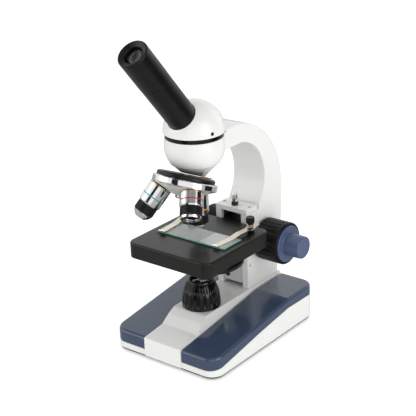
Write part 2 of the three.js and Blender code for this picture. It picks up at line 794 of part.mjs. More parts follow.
function objectiveBarrel(spec) {
  const seat = SHOULDER + GAP;
  const points = [
    [7.2, -spec.gripStart + GAP],
    [9.6, -spec.gripStart + GAP],
    [BARREL_RADIUS, -spec.gripStart + 1.4],
    [BARREL_RADIUS, -seat],
    [7.2, -seat],
    [7.2, -SHOULDER + 5],
    [5.8, -SHOULDER + 5],
    [5.8, -seat - 3],
    [7.2, -seat - 4],
    [7.2, -spec.gripStart + GAP],
  ];
  return turned(points, ROUND);
}

function objectiveGrip(spec) {
  return pipe(spec.grip, 7.2, -spec.gripEnd, -spec.gripStart, ROUND);
}

function objectiveNose(spec) {
  const start = spec.gripEnd + GAP;
  const [wide, narrow] = spec.tip;
  const middle = (start + spec.end) / 2;
  const points = [
    [spec.mouth, -spec.end],
    [narrow, -spec.end],
    [(wide * 2 + narrow) / 3, -middle],
    [wide, -start],
    [6.9, -start],
    [6.9, -spec.gripStart],
    [5.6, -spec.gripStart],
    [5.6, -start - 0.2],
    [spec.mouth, -spec.end + 1.2],
    [spec.mouth, -spec.end],
  ];
  return turned(points, ROUND);
}

function nosepiece() {
  const group = groupOf(
    piece("nosepiece_plate", nosepiecePlate(), blackPaint),
    piece("turret", turret(), chrome),
    piece("turret_screw", turretScrew(), steel),
    piece("click_spring", clickSpring(), brass),
  );
  for (const spec of OBJECTIVES) {
    const around = new THREE.Group();
    const tilted = new THREE.Group();
    around.rotation.z = degrees(-OBJECTIVE_ANGLES[spec.name]);
    tilted.rotation.x = TURRET_TILT;
    tilted.add(
      piece(spec.name + "_barrel", objectiveBarrel(spec), chrome),
      piece(spec.name + "_grip", objectiveGrip(spec), blackPaint),
      piece(spec.name + "_nose", objectiveNose(spec), chrome),
    );
    around.add(tilted);
    group.add(around);
  }
  group.rotation.x = -TURRET_TILT;
  group.position.z = TURRET_APEX;
  return group;
}

// ---------- head ----------
const RING_BOTTOM = HEAD_PARTING + GAP;
const DOME_BOTTOM = RING_BOTTOM + RING_THICKNESS + GAP;
const TUBE_LEAN = Math.PI / 2 - TUBE_ANGLE; // from the vertical, towards the front
const SCREW_BEARING = degrees(74.5 - 90); // the clamp screw's side of the dome

const leaned = (geometry) => geometry.rotateX(TUBE_LEAN).translate(0, 0, TUBE_PIVOT);

function swivelRing() {
  return pipe(RING_RADIUS, 12, RING_BOTTOM, RING_BOTTOM + RING_THICKNESS, ROUND);
}

const screwLine = (radius, from, to) =>
  alongX(bar(radius, from, to, TINY)).rotateZ(SCREW_BEARING).translate(0, 0, DOME_BOTTOM + 3.6);

function headDome() {
  const points = [[0, DOME_BOTTOM], [26.4, DOME_BOTTOM]];
  const steps = 7;
  for (let i = 0; i < steps; i++) {
    const angle = (i / steps) * (Math.PI / 2);
    points.push([DOME_RADIUS * Math.cos(angle), DOME_CENTRE + DOME_RADIUS * Math.sin(angle)]);
  }
  points.push([0, DOME_CENTRE + DOME_RADIUS]);
  return cut(
    turned(points, ROUND),
    bar(11, 190, 215, ROUND),
    leaned(bar(TUBE_RADIUS + GAP, TUBE_START - GAP, 60, ROUND)),
    leaned(bar(9, 5, 30, SMALL)),
    screwLine(1.7, 15, 40),
  );
}

function prism() {
  const side = polygon([[-7, 199.5], [7, 199.5], [7, 213]]);
  return sideways(side, -7, 7);
}

function drawTube() {
  return pipe(TUBE_RADIUS - 0.15, EYEPIECE_BARREL + GAP, TUBE_START, TUBE_SEAM, ROUND);
}

function eyepieceBody() {
  const points = [
    [9.6, 46],
    [EYEPIECE_BARREL, 46],
    [EYEPIECE_BARREL, TUBE_SEAM + GAP],
    [TUBE_RADIUS, TUBE_SEAM + GAP],
    [TUBE_RADIUS, TUBE_LENGTH],
    [12, TUBE_LENGTH],
    [10.2, TUBE_LENGTH - 2.4],
    [10.2, TUBE_LENGTH - 6],
    [9.6, TUBE_LENGTH - 6],
    [9.6, 46],
  ];
  return turned(points, ROUND);
}

function eyeLens() {
  const face = TUBE_LENGTH - 3;
  return turned([[0, face - 2.7], [9.9, face - 2.7], [9.9, face - 1], [6, face - 0.2], [0, face]], ROUND);
}

function head() {
  const tube = groupOf(
    piece("draw_tube", drawTube(), blackPlastic),
    piece("eyepiece_body", eyepieceBody(), blackPlastic),
    piece("eye_lens", eyeLens(), glass),
  );
  tube.rotation.x = TUBE_LEAN;
  tube.position.z = TUBE_PIVOT;
  return groupOf(
    piece("swivel_ring", swivelRing(), blackPaint),
    piece("head_dome", headDome(), whitePaint),
    piece("prism", prism(), glass),
    piece("head_set_screw", screwLine(1.4, 17, 26), blackPaint),
    tube,
  );
}

// ---------- the whole instrument ----------
const instrument = groupOf(base(), lamp(), armGroup(), focusDrive(), stage(), nosepiece(), head());
instrument.position.y = AXIS_Y;
const microscope = groupOf(instrument);

export default microscope;
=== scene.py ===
import json
import math

import bmesh
import bpy
from mathutils import Matrix, Vector


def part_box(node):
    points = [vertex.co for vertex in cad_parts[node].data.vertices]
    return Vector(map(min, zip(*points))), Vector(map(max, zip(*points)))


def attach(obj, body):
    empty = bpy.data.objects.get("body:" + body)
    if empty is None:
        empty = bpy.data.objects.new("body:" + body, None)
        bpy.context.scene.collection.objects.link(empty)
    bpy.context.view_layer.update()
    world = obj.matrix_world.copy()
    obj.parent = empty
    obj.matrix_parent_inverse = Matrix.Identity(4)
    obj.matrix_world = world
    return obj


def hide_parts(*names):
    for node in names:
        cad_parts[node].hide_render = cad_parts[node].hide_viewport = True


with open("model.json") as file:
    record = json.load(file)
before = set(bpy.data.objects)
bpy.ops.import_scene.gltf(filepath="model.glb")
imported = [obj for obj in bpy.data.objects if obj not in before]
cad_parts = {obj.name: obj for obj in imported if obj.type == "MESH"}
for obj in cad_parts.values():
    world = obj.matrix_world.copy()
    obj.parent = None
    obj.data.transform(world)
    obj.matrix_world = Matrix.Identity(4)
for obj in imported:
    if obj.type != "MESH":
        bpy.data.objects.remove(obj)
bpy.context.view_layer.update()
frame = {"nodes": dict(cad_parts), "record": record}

# ---- the base shell -------------------------------------------------------------------------------
# A die-cast wedge that carries the whole instrument: a low rim under the two side panels and a raised
# spine down the middle, cast in one and stoved in a glossy, faintly warm white enamel. The switch and
# the power socket are let into its back.
MM = 0.001
AXIS = Vector((0, sum(corner.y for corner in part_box("lamp_lens")) / 2, 0))  # where the light goes up
BODY_OF = {node: body for body, nodes in frame["record"]["behaviour"]["bodies"].items() for node in nodes}
X, Y, Z = (Vector((1, 0, 0)), Vector((0, 1, 0)), Vector((0, 0, 1)))


def box(node):
    """A CAD piece's two corners, in millimetres from the optical axis."""
    low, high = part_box(node)
    return (low - AXIS) / MM, (high - AXIS) / MM


def arc(centre, radius, first, last, steps):
    """Points on a circle, from one angle to the other, in degrees."""
    turns = [math.radians(first + (last - first) * i / steps) for i in range(steps + 1)]
    return [(centre[0] + radius * math.cos(t), centre[1] + radius * math.sin(t)) for t in turns]


def rounded(corners, steps=5):
    """An outline of (a, b) corners, where a third number rounds the corner to that radius."""
    outline = []
    for i, corner in enumerate(corners):
        here = Vector(corner[:2])
        if len(corner) == 2:
            outline.append(tuple(here))
            continue
        back = (Vector(corners[i - 1][:2]) - here).normalized()
        on = (Vector(corners[(i + 1) % len(corners)][:2]) - here).normalized()
        half = back.angle(on) / 2
        centre = here + (back + on).normalized() * corner[2] / math.sin(half)
        start = here + back * corner[2] / math.tan(half) - centre
        end = here + on * corner[2] / math.tan(half) - centre
        first = math.degrees(math.atan2(start.y, start.x))
        sweep = (math.degrees(math.atan2(end.y, end.x)) - first + 180) % 360 - 180
        outline += arc(centre, corner[2], first, first + sweep, steps)
    return outline


def slab(outline, low, high, along=Z):
    """An outline filled and extruded along one axis; it is drawn on the other two, in their order."""
    flat = [axis for axis in (X, Y, Z) if axis != along]
    bm = bmesh.new()
    face = bm.faces.new([bm.verts.new(flat[0] * a + flat[1] * b + along * low) for a, b in outline])
    grown = bmesh.ops.extrude_face_region(bm, geom=[face])["geom"]
    raised = [item for item in grown if isinstance(item, bmesh.types.BMVert)]
    bmesh.ops.translate(bm, verts=raised, vec=along * (high - low))
    bmesh.ops.recalc_face_normals(bm, faces=bm.faces)
    return bm


def brick(low, high):
    """A plain block between two corners."""
    middle = (Vector(low) + Vector(high)) / 2
    bm = bmesh.new()
    bmesh.ops.create_cube(bm, size=1)
    bmesh.ops.scale(bm, verts=bm.verts, vec=Vector(high) - Vector(low))
    bmesh.ops.translate(bm, verts=bm.verts, vec=middle)
    return bm


def lathe(profile, steps=96, closed=False):
    """A profile of (radius, height) points spun once round the Z axis."""
    bm = bmesh.new()
    points = [bm.verts.new((radius, 0, height)) for radius, height in profile]
    edges = [bm.edges.new(pair) for pair in zip(points, points[1:])]
    if closed:
        edges.append(bm.edges.new((points[-1], points[0])))
    bmesh.ops.spin(
        bm, geom=points + edges, cent=(0, 0, 0), axis=Z, angle=2 * math.pi, steps=steps, use_merge=True
    )
    bmesh.ops.remove_doubles(bm, verts=bm.verts, dist=1e-4)
    bmesh.ops.recalc_face_normals(bm, faces=bm.faces)
    return bm


def rod(radius, low, high, steps=48):
    return lathe([(0, low), (radius, low), (radius, high), (0, high)], steps)


def turn(bm, degrees, axis, about=(0, 0, 0)):
    bmesh.ops.rotate(bm, cent=about, matrix=Matrix.Rotation(math.radians(degrees), 3, axis), verts=bm.verts)
    return bm


def shift(bm, vec):
    bmesh.ops.translate(bm, verts=bm.verts, vec=vec)
    return bm


def trim(bm, point, outward):
    """Cuts away what is beyond a plane and closes the cut."""
    everything = bm.verts[:] + bm.edges[:] + bm.faces[:]
    sliced = bmesh.ops.bisect_plane(
        bm, geom=everything, plane_co=point, plane_no=Vector(outward).normalized(), clear_outer=True
    )
    rim = [item for item in sliced["geom_cut"] if isinstance(item, bmesh.types.BMEdge)]
    bmesh.ops.holes_fill(bm, edges=rim)
    bmesh.ops.recalc_face_normals(bm, faces=bm.faces)
    return bm


def soften(bm, radius, chosen=lambda edge: True, steps=4, angle=25, clamp=True):
    """Rounds the chosen edges that turn by more than an angle."""
    bm.normal_update()
    sharp = [
        edge
        for edge in bm.edges
        if len(edge.link_faces) == 2 and edge.calc_face_angle(0) > math.radians(angle) and chosen(edge)
    ]
    bmesh.ops.bevel(
        bm, geom=sharp, offset=radius, affect="EDGES", segments=steps, profile=0.5, material=-1,
        clamp_overlap=clamp,
    )
    return bm


def middle_of(edge):
    return (edge.verts[0].co + edge.verts[1].co) / 2


def boolean(bm, tools, operation="DIFFERENCE"):
    """Cuts one shape by others, or joins them to it, and frees the others."""
    objects = []
    for shape in [bm, *tools]:
        mesh = bpy.data.meshes.new("shape")
        shape.to_mesh(mesh)
        shape.free()
        objects.append(bpy.data.objects.new("shape", mesh))
        bpy.context.scene.collection.objects.link(objects[-1])
    for tool in objects[1:]:
        step = objects[0].modifiers.new("step", "BOOLEAN")
        step.operation = operation
        step.object = tool
        step.solver = "EXACT"
    depsgraph = bpy.context.evaluated_depsgraph_get()
    done = bmesh.new()
    done.from_mesh(objects[0].evaluated_get(depsgraph).to_mesh())
    for made in objects:
        bpy.data.meshes.remove(made.data)
    bmesh.ops.remove_doubles(done, verts=done.verts, dist=1e-3)
    bmesh.ops.dissolve_degenerate(done, edges=done.edges, dist=1e-3)
    return done


def finished(node, bm, material, edge=0.0, part=None, angle=35):
    """Places a shape and puts it on its body. It stands for its CAD piece, or is an extra part of it."""
    name = f"{node}_{part or 'finished'}"
    bmesh.ops.scale(bm, verts=bm.verts, vec=(MM, MM, MM))
    shift(bm, AXIS)
    mesh = bpy.data.meshes.new(name)
    bm.to_mesh(mesh)
    bm.free()
    mesh.shade_smooth()
    mesh.set_sharp_from_angle(angle=math.radians(angle))
    mesh.materials.append(material)
    made = bpy.data.objects.new(name, mesh)
    bpy.context.scene.collection.objects.link(made)
    if edge:
        bevel = made.modifiers.new("edges", "BEVEL")
        bevel.width = edge * MM
        bevel.segments = 3
        bevel.limit_method = "ANGLE"
        bevel.angle_limit = math.radians(angle)
        bevel.miter_outer = "MITER_ARC"
        bevel.use_clamp_overlap = True
    weigh = made.modifiers.new("normals", "WEIGHTED_NORMAL")
    weigh.keep_sharp = True
    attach(made, BODY_OF[node])
    if not part:
        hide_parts(node)
    return made


class Field:
    """A socket in a material's nodes. Arithmetic on it adds Math nodes to the same tree."""

    def __init__(self, tree, socket):
        self.tree = tree
        self.socket = socket

    def node(self, kind, settings=(), inputs=(), output=0):
        """Any other node: its type, its settings, then the values or links of its sockets."""
        made = self.tree.nodes.new(kind)
        for key, value in dict(settings).items():
            if key == "stops":
                first, last = made.color_ramp.elements
                last.position, last.color = value[-1][0], (*value[-1][1], 1)
                first.position, first.color = value[0][0], (*value[0][1], 1)
                for position, colour in value[1:-1]:
                    made.color_ramp.elements.new(position).color = (*colour, 1)
            else:
                setattr(made, key, value)
        for key, value in dict(inputs).items():
            if isinstance(value, Field):
                self.tree.links.new(value.socket, made.inputs[key])
            else:
                made.inputs[key].default_value = value
        return Field(self.tree, made.outputs[output])

    def math(self, operation, first, second=0.0):
        return self.node("ShaderNodeMath", {"operation": operation}, {0: first, 1: second})

    def __add__(self, other):
        return self.math("ADD", self, other)

    def __sub__(self, other):
        return self.math("SUBTRACT", self, other)

    def __rsub__(self, other):
        return self.math("SUBTRACT", other, self)

    def __mul__(self, other):
        return self.math("MULTIPLY", self, other)

    def __gt__(self, other):
        return self.math("GREATER_THAN", self, other)

    def __lt__(self, other):
        return self.math("LESS_THAN", self, other)

    __radd__ = __add__
    __rmul__ = __mul__


def surface(name, constants):
    """A new material with its fixed values set, and the place on the piece to work patterns from."""
    made = bpy.data.materials.new(name)
    made.use_nodes = True
    tree = made.node_tree
    skin = tree.nodes["Principled BSDF"]
    for socket, value in constants.items():
        skin.inputs[socket].default_value = value
    place = Field(tree, tree.nodes.new("ShaderNodeTexCoord").outputs["Object"])
    return made, skin, place


def feed(skin, **fields):
    """Links what varies over the surface: base_color, roughness, normal and so on."""
    for word, field in fields.items():
        field.tree.links.new(field.socket, skin.inputs[word.replace("_", " ").title()])


def speckle(place, size, detail=2.0, stretch=(1, 1, 1)):
    """Noise from 0 to 1 with blotches of a size in millimetres, drawn out along an axis if asked."""
    mapped = place.node("ShaderNodeMapping", {}, {"Vector": place, "Scale": stretch})
    noise = {"Vector": mapped, "Scale": 1 / (size * MM), "Detail": detail}
    return place.node("ShaderNodeTexNoise", {}, noise)


def between(factor, first, second):
    """A colour mixed from two by a factor."""
    colours = {0: factor, 6: (*first, 1) if isinstance(first, tuple) else first}
    colours[7] = (*second, 1) if isinstance(second, tuple) else second
    return factor.node("ShaderNodeMix", {"data_type": "RGBA"}, colours, output=2)


def dented(height, depth, strength=1.0):
    """The surface normal bent by a height; depth is in millimetres."""
    return height.node("ShaderNodeBump", {}, {"Strength": strength, "Distance": depth * MM, "Height": height})


def enamel(name, light, dark, roughness, ripple=0.012, gloss=0.5, coat=0.35):
    """Stoved enamel: faint clouding, the soft ripple of sprayed paint and a few specks of dust."""
    made, skin, place = surface(name, {"Specular IOR Level": gloss, "Coat Weight": coat, "Coat Roughness": 0.08})
    clouds = speckle(place, 22, 3)
    peel = speckle(place, 1.6, 1)
    dust = speckle(place, 0.3, 0) > 0.8
    feed(
        skin,
        base_color=between(clouds * 0.9 + dust * 0.1, dark, light),
        roughness=clouds * 0.05 + dust * 0.1 + roughness,
        normal=dented(peel, ripple),
    )
    return made


WHITE = enamel("white_enamel", (0.83, 0.832, 0.812), (0.81, 0.812, 0.79), 0.22, ripple=0.005)

RIM_LOW, RIM_HIGH = box("base_panel_left")[0], box("base_panel_right")[1]
SHELL_LOW, SHELL_HIGH = box("base_shell")
CORNER = 12
SHOULDER = [(-70, 7), (9.8, 20), (54.4, 25.9), (120, 24.9)]  # where the white rim meets the panels
SPINE_HALF, SPINE_TOP_HALF, LEAN_FROM = 20.5, 17.8, 24
SOCKETS_Z = 14


def footprint(low, high):
    left, right, front, back = RIM_LOW.x, RIM_HIGH.x, RIM_LOW.y, RIM_HIGH.y
    corners = [(left, front), (right, front), (right, back), (left, back)]
    return slab(rounded([(*corner, CORNER) for corner in corners], 12), low, high)


shell = footprint(SHELL_LOW.z, 40)
for (y0, z0), (y1, z1) in zip(SHOULDER, SHOULDER[1:]):
    trim(shell, (0, y0, z0 - 0.15), (0, z0 - z1, y1 - y0))
spine = slab(
    rounded(
        [
            (SHELL_LOW.y, SHELL_LOW.z),
            (SHELL_HIGH.y, SHELL_LOW.z),
            (SHELL_HIGH.y, SHELL_HIGH.z, 1),
            (-17, SHELL_HIGH.z, 5),
            (-24, 32, 5),
            (-32, 24.2, 5),
            (SHELL_LOW.y, 21.3, 1.6),
        ]
    ),
    -SPINE_HALF,
    SPINE_HALF,
    X,
)
for side in (-1, 1):
    lean = (side * (SHELL_HIGH.z + 1 - LEAN_FROM), 0, SPINE_HALF - SPINE_TOP_HALF)
    trim(spine, (side * SPINE_HALF, 0, LEAN_FROM), lean)
soften(spine, 0.9, angle=10)
shell = boolean(shell, [spine], "UNION")
switch_low, switch_high = box("power_switch")
inlet = (box("power_inlet")[0] + box("power_inlet")[1]) / 2
pocket = brick((switch_low.x - 0.8, 91.8, 9), (switch_high.x + 0.8, 99, 19))
socket = shift(turn(rod(4.3, -6, 6), 90, X), (inlet.x, SHELL_HIGH.y, inlet.z))
shell = boolean(shell, [pocket, socket])
finished("base_shell", shell, WHITE, edge=0.45)

# ---- the side panels ------------------------------------------------------------------------------
# Two moulded covers that drop over the rim on each side of the spine. They are slate-blue with a deep
# gloss; their outer top edges are generously rounded, and they level off towards the back.
PANEL_TOP = [(-70, 19.1), (56, 34.7), (120, 35.5)]


def height_on(line, y):
    """The height of a line of (y, z) points at y."""
    for (y0, z0), (y1, z1) in zip(line, line[1:]):
        if y0 <= y <= y1:
            return z0 + (z1 - z0) * (y - y0) / (y1 - y0)


SLATE = enamel("slate_blue_gloss", (0.047, 0.072, 0.128), (0.037, 0.058, 0.104), 0.17, ripple=0.006, coat=0.4)


def side_panel(side):
    front, back = RIM_LOW.y, RIM_HIGH.y
    top = [(y, z, 6) for y, z in PANEL_TOP[1:-1]]
    bottom = [(y, z + 0.15, 6) for y, z in SHOULDER[1:-1]]
    outline = [
        (front, height_on(PANEL_TOP, front)),
        *top,
        (back, height_on(PANEL_TOP, back)),
        (back, height_on(SHOULDER, back) + 0.15),
        *reversed(bottom),
        (front, height_on(SHOULDER, front) + 0.15),
    ]
    inner, outer = box("base_panel_right")[0].x, box("base_panel_right")[1].x
    panel = slab(rounded(outline, 3), inner, outer, X)

    def plan_corner(edge):
        run = edge.verts[0].co - edge.verts[1].co
        return middle_of(edge).x > outer - 0.01 and abs(run.y) < 0.1 and abs(run.z) > 6


    def outer_rim(edge):
        at = middle_of(edge)
        return at.x > inner + 0.01 and abs(at.z - height_on(PANEL_TOP, at.y)) < 0.2

    soften(panel, CORNER, plan_corner, 12, clamp=False)
    soften(panel, 2.6, outer_rim, 6, 40, clamp=False)
    soften(panel, 0.35, steps=2, angle=40, clamp=False)
    if side < 0:
        bmesh.ops.scale(panel, verts=panel.verts, vec=(-1, 1, 1))
        bmesh.ops.recalc_face_normals(panel, faces=panel.faces)
    return panel


finished("base_panel_right", side_panel(1), SLATE)
finished("base_panel_left", side_panel(-1), SLATE)

# ---- under the base -------------------------------------------------------------------------------
# A pressed steel plate painted black closes the shell from below, with a sliding battery door in it
# and four moulded rubber feet under its corners.
BLACK_PAINT = enamel("satin_black_paint", (0.009, 0.009, 0.009), (0.005, 0.005, 0.005), 0.32, gloss=0.3, coat=0.05)


def moulded(name, light, dark, roughness, grain=0.02, size=0.35, gloss=0.5):
    """Moulded plastic or rubber: an even fine grain, slightly cloudy, with rubbed places a bit shinier."""
    made, skin, place = surface(name, {"Specular IOR Level": gloss})
    clouds = speckle(place, 14, 3)
    texture = speckle(place, size, 1)
    feed(
        skin,
        base_color=between(clouds, dark, light),
        roughness=clouds * 0.12 + texture * 0.06 + roughness,
        normal=dented(texture, grain),
    )
    return made


RUBBER = moulded("black_rubber", (0.035, 0.035, 0.036), (0.02, 0.02, 0.021), 0.7, 0.06, 0.6)
BLACK_PLASTIC = moulded("black_plastic", (0.006, 0.006, 0.006), (0.004, 0.004, 0.004), 0.3, gloss=0.25)

plate_low, plate_high = box("base_plate")
door_low, door_high = box("battery_door")
plate_corners = [(plate_low.x, plate_low.y), (plate_high.x, plate_low.y)]
plate_corners += [(plate_high.x, plate_high.y), (plate_low.x, plate_high.y)]
plate = slab(rounded([(*corner, CORNER - 0.8) for corner in plate_corners], 12), plate_low.z, plate_high.z)
margin = Vector((0.3, 0.3, 2))
plate = boolean(plate, [brick(door_low - margin, door_high + margin)])
finished("base_plate", plate, BLACK_PAINT, edge=0.3)

door = brick(door_low, door_high)
soften(door, 2, lambda edge: abs(edge.verts[0].co.z - edge.verts[1].co.z) > 1, 6)
grips = [
    brick((-9, y - 0.6, door_low.z - 1), (9, y + 0.6, door_low.z + 0.5))
    for y in (door_low.y + 4, door_low.y + 6.5, door_low.y + 9)
]
finished("battery_door", boolean(door, grips), BLACK_PLASTIC, edge=0.2)

for node in ("foot_front_left", "foot_front_right", "foot_back_left", "foot_back_right"):
    low, high = box(node)
    radius = (high.x - low.x) / 2
    foot = lathe(rounded([(0, 0), (radius - 0.6, 0, 0.5), (radius, high.z - 0.4, 0.3), (radius, high.z), (0, high.z)]))
    finished(node, shift(foot, ((low.x + high.x) / 2, (low.y + high.y) / 2, 0)), RUBBER)

# ---- the lamp -------------------------------------------------------------------------------------
# A bell moulded in glossy black plastic stands on the spine. Cooling slots run in from its rim, long
# flutes run down its side, and a round glass window closes its top over the light source.
GLOSS_BLACK = moulded("gloss_black_plastic", (0.005, 0.005, 0.005), (0.003, 0.003, 0.003), 0.05, 0.0004, 1.2, gloss=0.45)
FLUTES = 18
lamp_low, lamp_high = box("lamp_housing")


def eased(value, start, end):
    share = min(max((value - start) / (end - start), 0), 1)
    return share * share * (3 - 2 * share)


bell_side = [
    (17.5, 0), (17.5, 1), (17.5, 2), (17.5, 3), (17.35, 5), (17.2, 7), (17.0, 9), (16.75, 10.8), (16.4, 12.6),
    (16.0, 14.2), (15.55, 15.7), (15.1, 17), (14.7, 18), (14.3, 18.9), (13.8, 19.9), (13.3, 20.8), (12.75, 21.7),
    (12.2, 22.5), (11.75, 23.1), (11.5, 23.6), (11.35, 24.2), (11.1, 24.8), (10.6, 25.2), (10, 25.2), (9.4, 24.9),
    (8.9, 24.2), (8.7, 23.2), (8.7, 21.5),
]
bell_inside = [(11, 19), (14.5, 9), (15, 0.2)]
bell = lathe([(radius, lamp_low.z + height) for radius, height in bell_side + bell_inside], FLUTES * 24, True)
for vert in bell.verts:
    at = vert.co.z - lamp_low.z
    radius = math.hypot(vert.co.x, vert.co.y)
    if radius < 8.6 or (radius < 15.2 and at < 15):
        continue
    wave = math.cos(FLUTES * math.atan2(vert.co.y, vert.co.x))
    fins = math.cos(2 * FLUTES * math.atan2(vert.co.y, vert.co.x))
    low_flute = 1.4 * eased(wave, 0.1, 1) * eased(at, 2.2, 4.2) * (1 - eased(at, 12.4, 14.4))
    slot = 1.7 * eased(fins, 0.2, 0.7) * eased(at, 16.6, 17.8) * (1 - eased(at, 22.6, 23.3))
    vert.co.xy *= 1 - (low_flute + slot) / radius
finished("lamp_housing", bell, GLOSS_BLACK, angle=60)


def polished_glass(name, tint, body=0.0):
    """Optical glass with the finest smears of handling, tinted by the colour given; a dark colour paints shade into the
    glass.
    """
    made, skin, place = surface(name, {"IOR": 1.5, "Transmission Weight": 1 - body})
    smear = speckle(place, 4, 2, (1, 3, 1))
    feed(skin, base_color=between(smear, tint, tuple(min(1, c * 1.06) for c in tint)), roughness=smear * 0.05)
    return made


OPTIC = polished_glass("coated_glass", (0.86, 0.84, 0.94))
window_low, window_high = box("lamp_lens")
window = [(0, window_low.z), (8.3, window_low.z, 0.3), (8.3, window_low.z + 0.9, 0.3)]
window = rounded(window) + [(r, window_high.z - 1.1 * (r / 8.3) ** 2) for r in (6.5, 4.5, 2.2, 0)]
finished("lamp_lens", lathe(window), OPTIC)

BOARD = moulded("white_board", (0.75, 0.75, 0.7), (0.66, 0.66, 0.62), 0.5)
finished("led_board", boolean(rod(12, 38, 39.6), [rod(3, 39.4, 41.2), rod(1.6, 41, 42.4)], "UNION"), BOARD, edge=0.2)

# ---- the arm --------------------------------------------------------------------------------------
# One aluminium casting in the same white enamel: a column whose front is milled out for the slide, a
# swan neck over the stage, and the bowl that the head sits on. Its edges are rounded by the casting.
ARM_HALF = 17.5
NECK, NECK_OUT = (31.3, 125), 73.3
ARCH, ARCH_DEPTH, ARCH_HEIGHT = (39, 140.5), 37.3, 39.7
COLUMN_FRONT, COLUMN_TOP = 47.3, 110
SHAFT = Vector((0, 73, 79.6))
TILT = 23  # of the nosepiece's axis, from the vertical
APEX = Vector((0, 0, 193.5))
arm_low, arm_high = box("arm")

ARCH_END = math.degrees(math.asin((114.5 - ARCH[1]) / ARCH_HEIGHT))
arch = [
    (ARCH[0] + ARCH_DEPTH * math.cos(turned), ARCH[1] + ARCH_HEIGHT * math.sin(turned))
    for turned in (math.radians(90 + (ARCH_END - 90) * i / 40) for i in range(41))
]
arm_outline = [
    (COLUMN_FRONT, arm_low.z),
    (95, arm_low.z),
    *rounded([(95, arm_low.z), (101, 92, 60), (NECK[0] + NECK_OUT, NECK[1])], 4)[1:-1],
    *arc(NECK, NECK_OUT, 0, 90, 40),
    (18, NECK[1] + NECK_OUT),
    (18, ARCH[1] + ARCH_HEIGHT),
    *arch,
    (66, COLUMN_TOP),
    (COLUMN_FRONT, COLUMN_TOP),
]
casting = slab(arm_outline, -ARM_HALF, ARM_HALF, X)


def on_neck_inside(edge):
    at = middle_of(edge)
    across, high = (at.y - ARCH[0]) / ARCH_DEPTH, (at.z - ARCH[1]) / ARCH_HEIGHT
    return abs(math.hypot(across, high) - 1) < 0.01 and at.z > COLUMN_TOP


def on_back(edge):
    at = middle_of(edge)
    run = (edge.verts[0].co - edge.verts[1].co).x
    outside = math.hypot(at.y - NECK[0], at.z - NECK[1]) > NECK_OUT - 0.6 if at.z > NECK[1] else at.y > 90
    return abs(run) < 0.01 and outside and at.z > arm_low.z + 1


def on_front(edge):
    at = middle_of(edge)
    run = (edge.verts[0].co - edge.verts[1].co).x
    return abs(run) < 0.01 and at.y < COLUMN_FRONT + 0.1 and arm_low.z + 1 < at.z < COLUMN_TOP - 1


soften(casting, 3.2, on_back, 6)
soften(casting, 0.9, on_neck_inside, 4)
soften(casting, 0.9, on_front, 4)

BOWL_RADIUS, BOWL_CENTRE = 26.3, 187.5
bowl_side = [(0, 152), (6, 152), (7.5, 158.5, 3), (20.4, 172, 2), *arc((0, BOWL_CENTRE), BOWL_RADIUS, -34, 10, 24), (25.6, 195.8), (0, 195.8)]
bowl = lathe(rounded(bowl_side), 128)
seat = APEX + Matrix.Rotation(math.radians(-TILT), 3, X) @ Vector((0, 0, -30.7))
trim(bowl, seat, Matrix.Rotation(math.radians(-TILT), 3, X) @ -Z)
arm = boolean(casting, [bowl], "UNION")
slide_low, slide_high = box("slideway")
cuts = [
    rod(27.5, 195.8, 220, 96),
    brick((-11.2, COLUMN_FRONT - 5, 30), (11.2, 64.5, COLUMN_TOP + 5)),
    brick((-5.2, 60, 30), (5.2, 66.8, COLUMN_TOP + 5)),
    shift(turn(rod(5.5, -30, 30), 90, Y), SHAFT),
    shift(turn(rod(1.4, ARM_HALF - 4, ARM_HALF + 4), 90, Y), (0, 50.6, 59.6)),
    rod(9, 140, 230),
]
finished("arm", boolean(arm, cuts), WHITE, angle=40)

# ---- the gearbox cap ------------------------------------------------------------------------------
# A flat cap closes the top of the column. Two small slotted screws hold it down, and the chromed stop
# screw stands up through it, locked by a hexagon nut, to keep the stage from meeting the objectives.
cap_low, cap_high = box("gearbox_cap")
cap_corners = [(cap_low.x, cap_low.y), (cap_high.x, cap_low.y), (cap_high.x, cap_high.y), (cap_low.x, cap_high.y)]
cap = slab(rounded([(*corner, 1) for corner in cap_corners]), cap_low.z, cap_high.z)
screws = {node: (box(node)[0] + box(node)[1]) / 2 for node in ("cap_screw_left", "cap_screw_right")}
stop = (box("stop_screw")[0] + box("stop_screw")[1]) / 2
holes = [shift(rod(1.8, 100, 120), (at.x, at.y, 0)) for at in screws.values()]
cap = boolean(cap, [*holes, shift(rod(2.3, 100, 120), (0, stop.y, 0))])
finished("gearbox_cap", cap, WHITE, edge=0.5)


def metal(name, light, dark, roughness, grain=(1, 1, 1), scratch=0.004):
    """Bare or plated metal: a fine grain along one axis, faint fingering and rubbed spots."""
    made, skin, place = surface(name, {"Metallic": 1.0})
    lines = speckle(place, 0.25, 2, grain)
    smears = speckle(place, 9, 3)
    feed(
        skin,
        base_color=between(smears, dark, light),
        roughness=smears * 0.06 + lines * 0.05 + roughness,
        normal=dented(lines, scratch),
    )
    return made


STEEL = metal("bright_steel", (0.66, 0.66, 0.67), (0.55, 0.55, 0.56), 0.2, (1, 1, 0.08))
CHROME = metal("chrome_plate", (0.86, 0.86, 0.87), (0.8, 0.8, 0.81), 0.03, (1, 1, 0.2), 0.0008)
BRASS = metal("turned_brass", (0.75, 0.56, 0.3), (0.63, 0.45, 0.22), 0.2, (1, 1, 0.1))

for node, at in screws.items():
    low, high = box(node)
    screw = lathe(rounded([(0, low.z), (1.5, low.z), (1.5, high.z, 0.25), (0, high.z)]), 32)
    slit = turn(brick((-2, -0.28, high.z - 0.7), (2, 0.28, high.z + 1)), 35, Z)
    finished(node, shift(boolean(screw, [slit]), (at.x, at.y, 0)), STEEL)

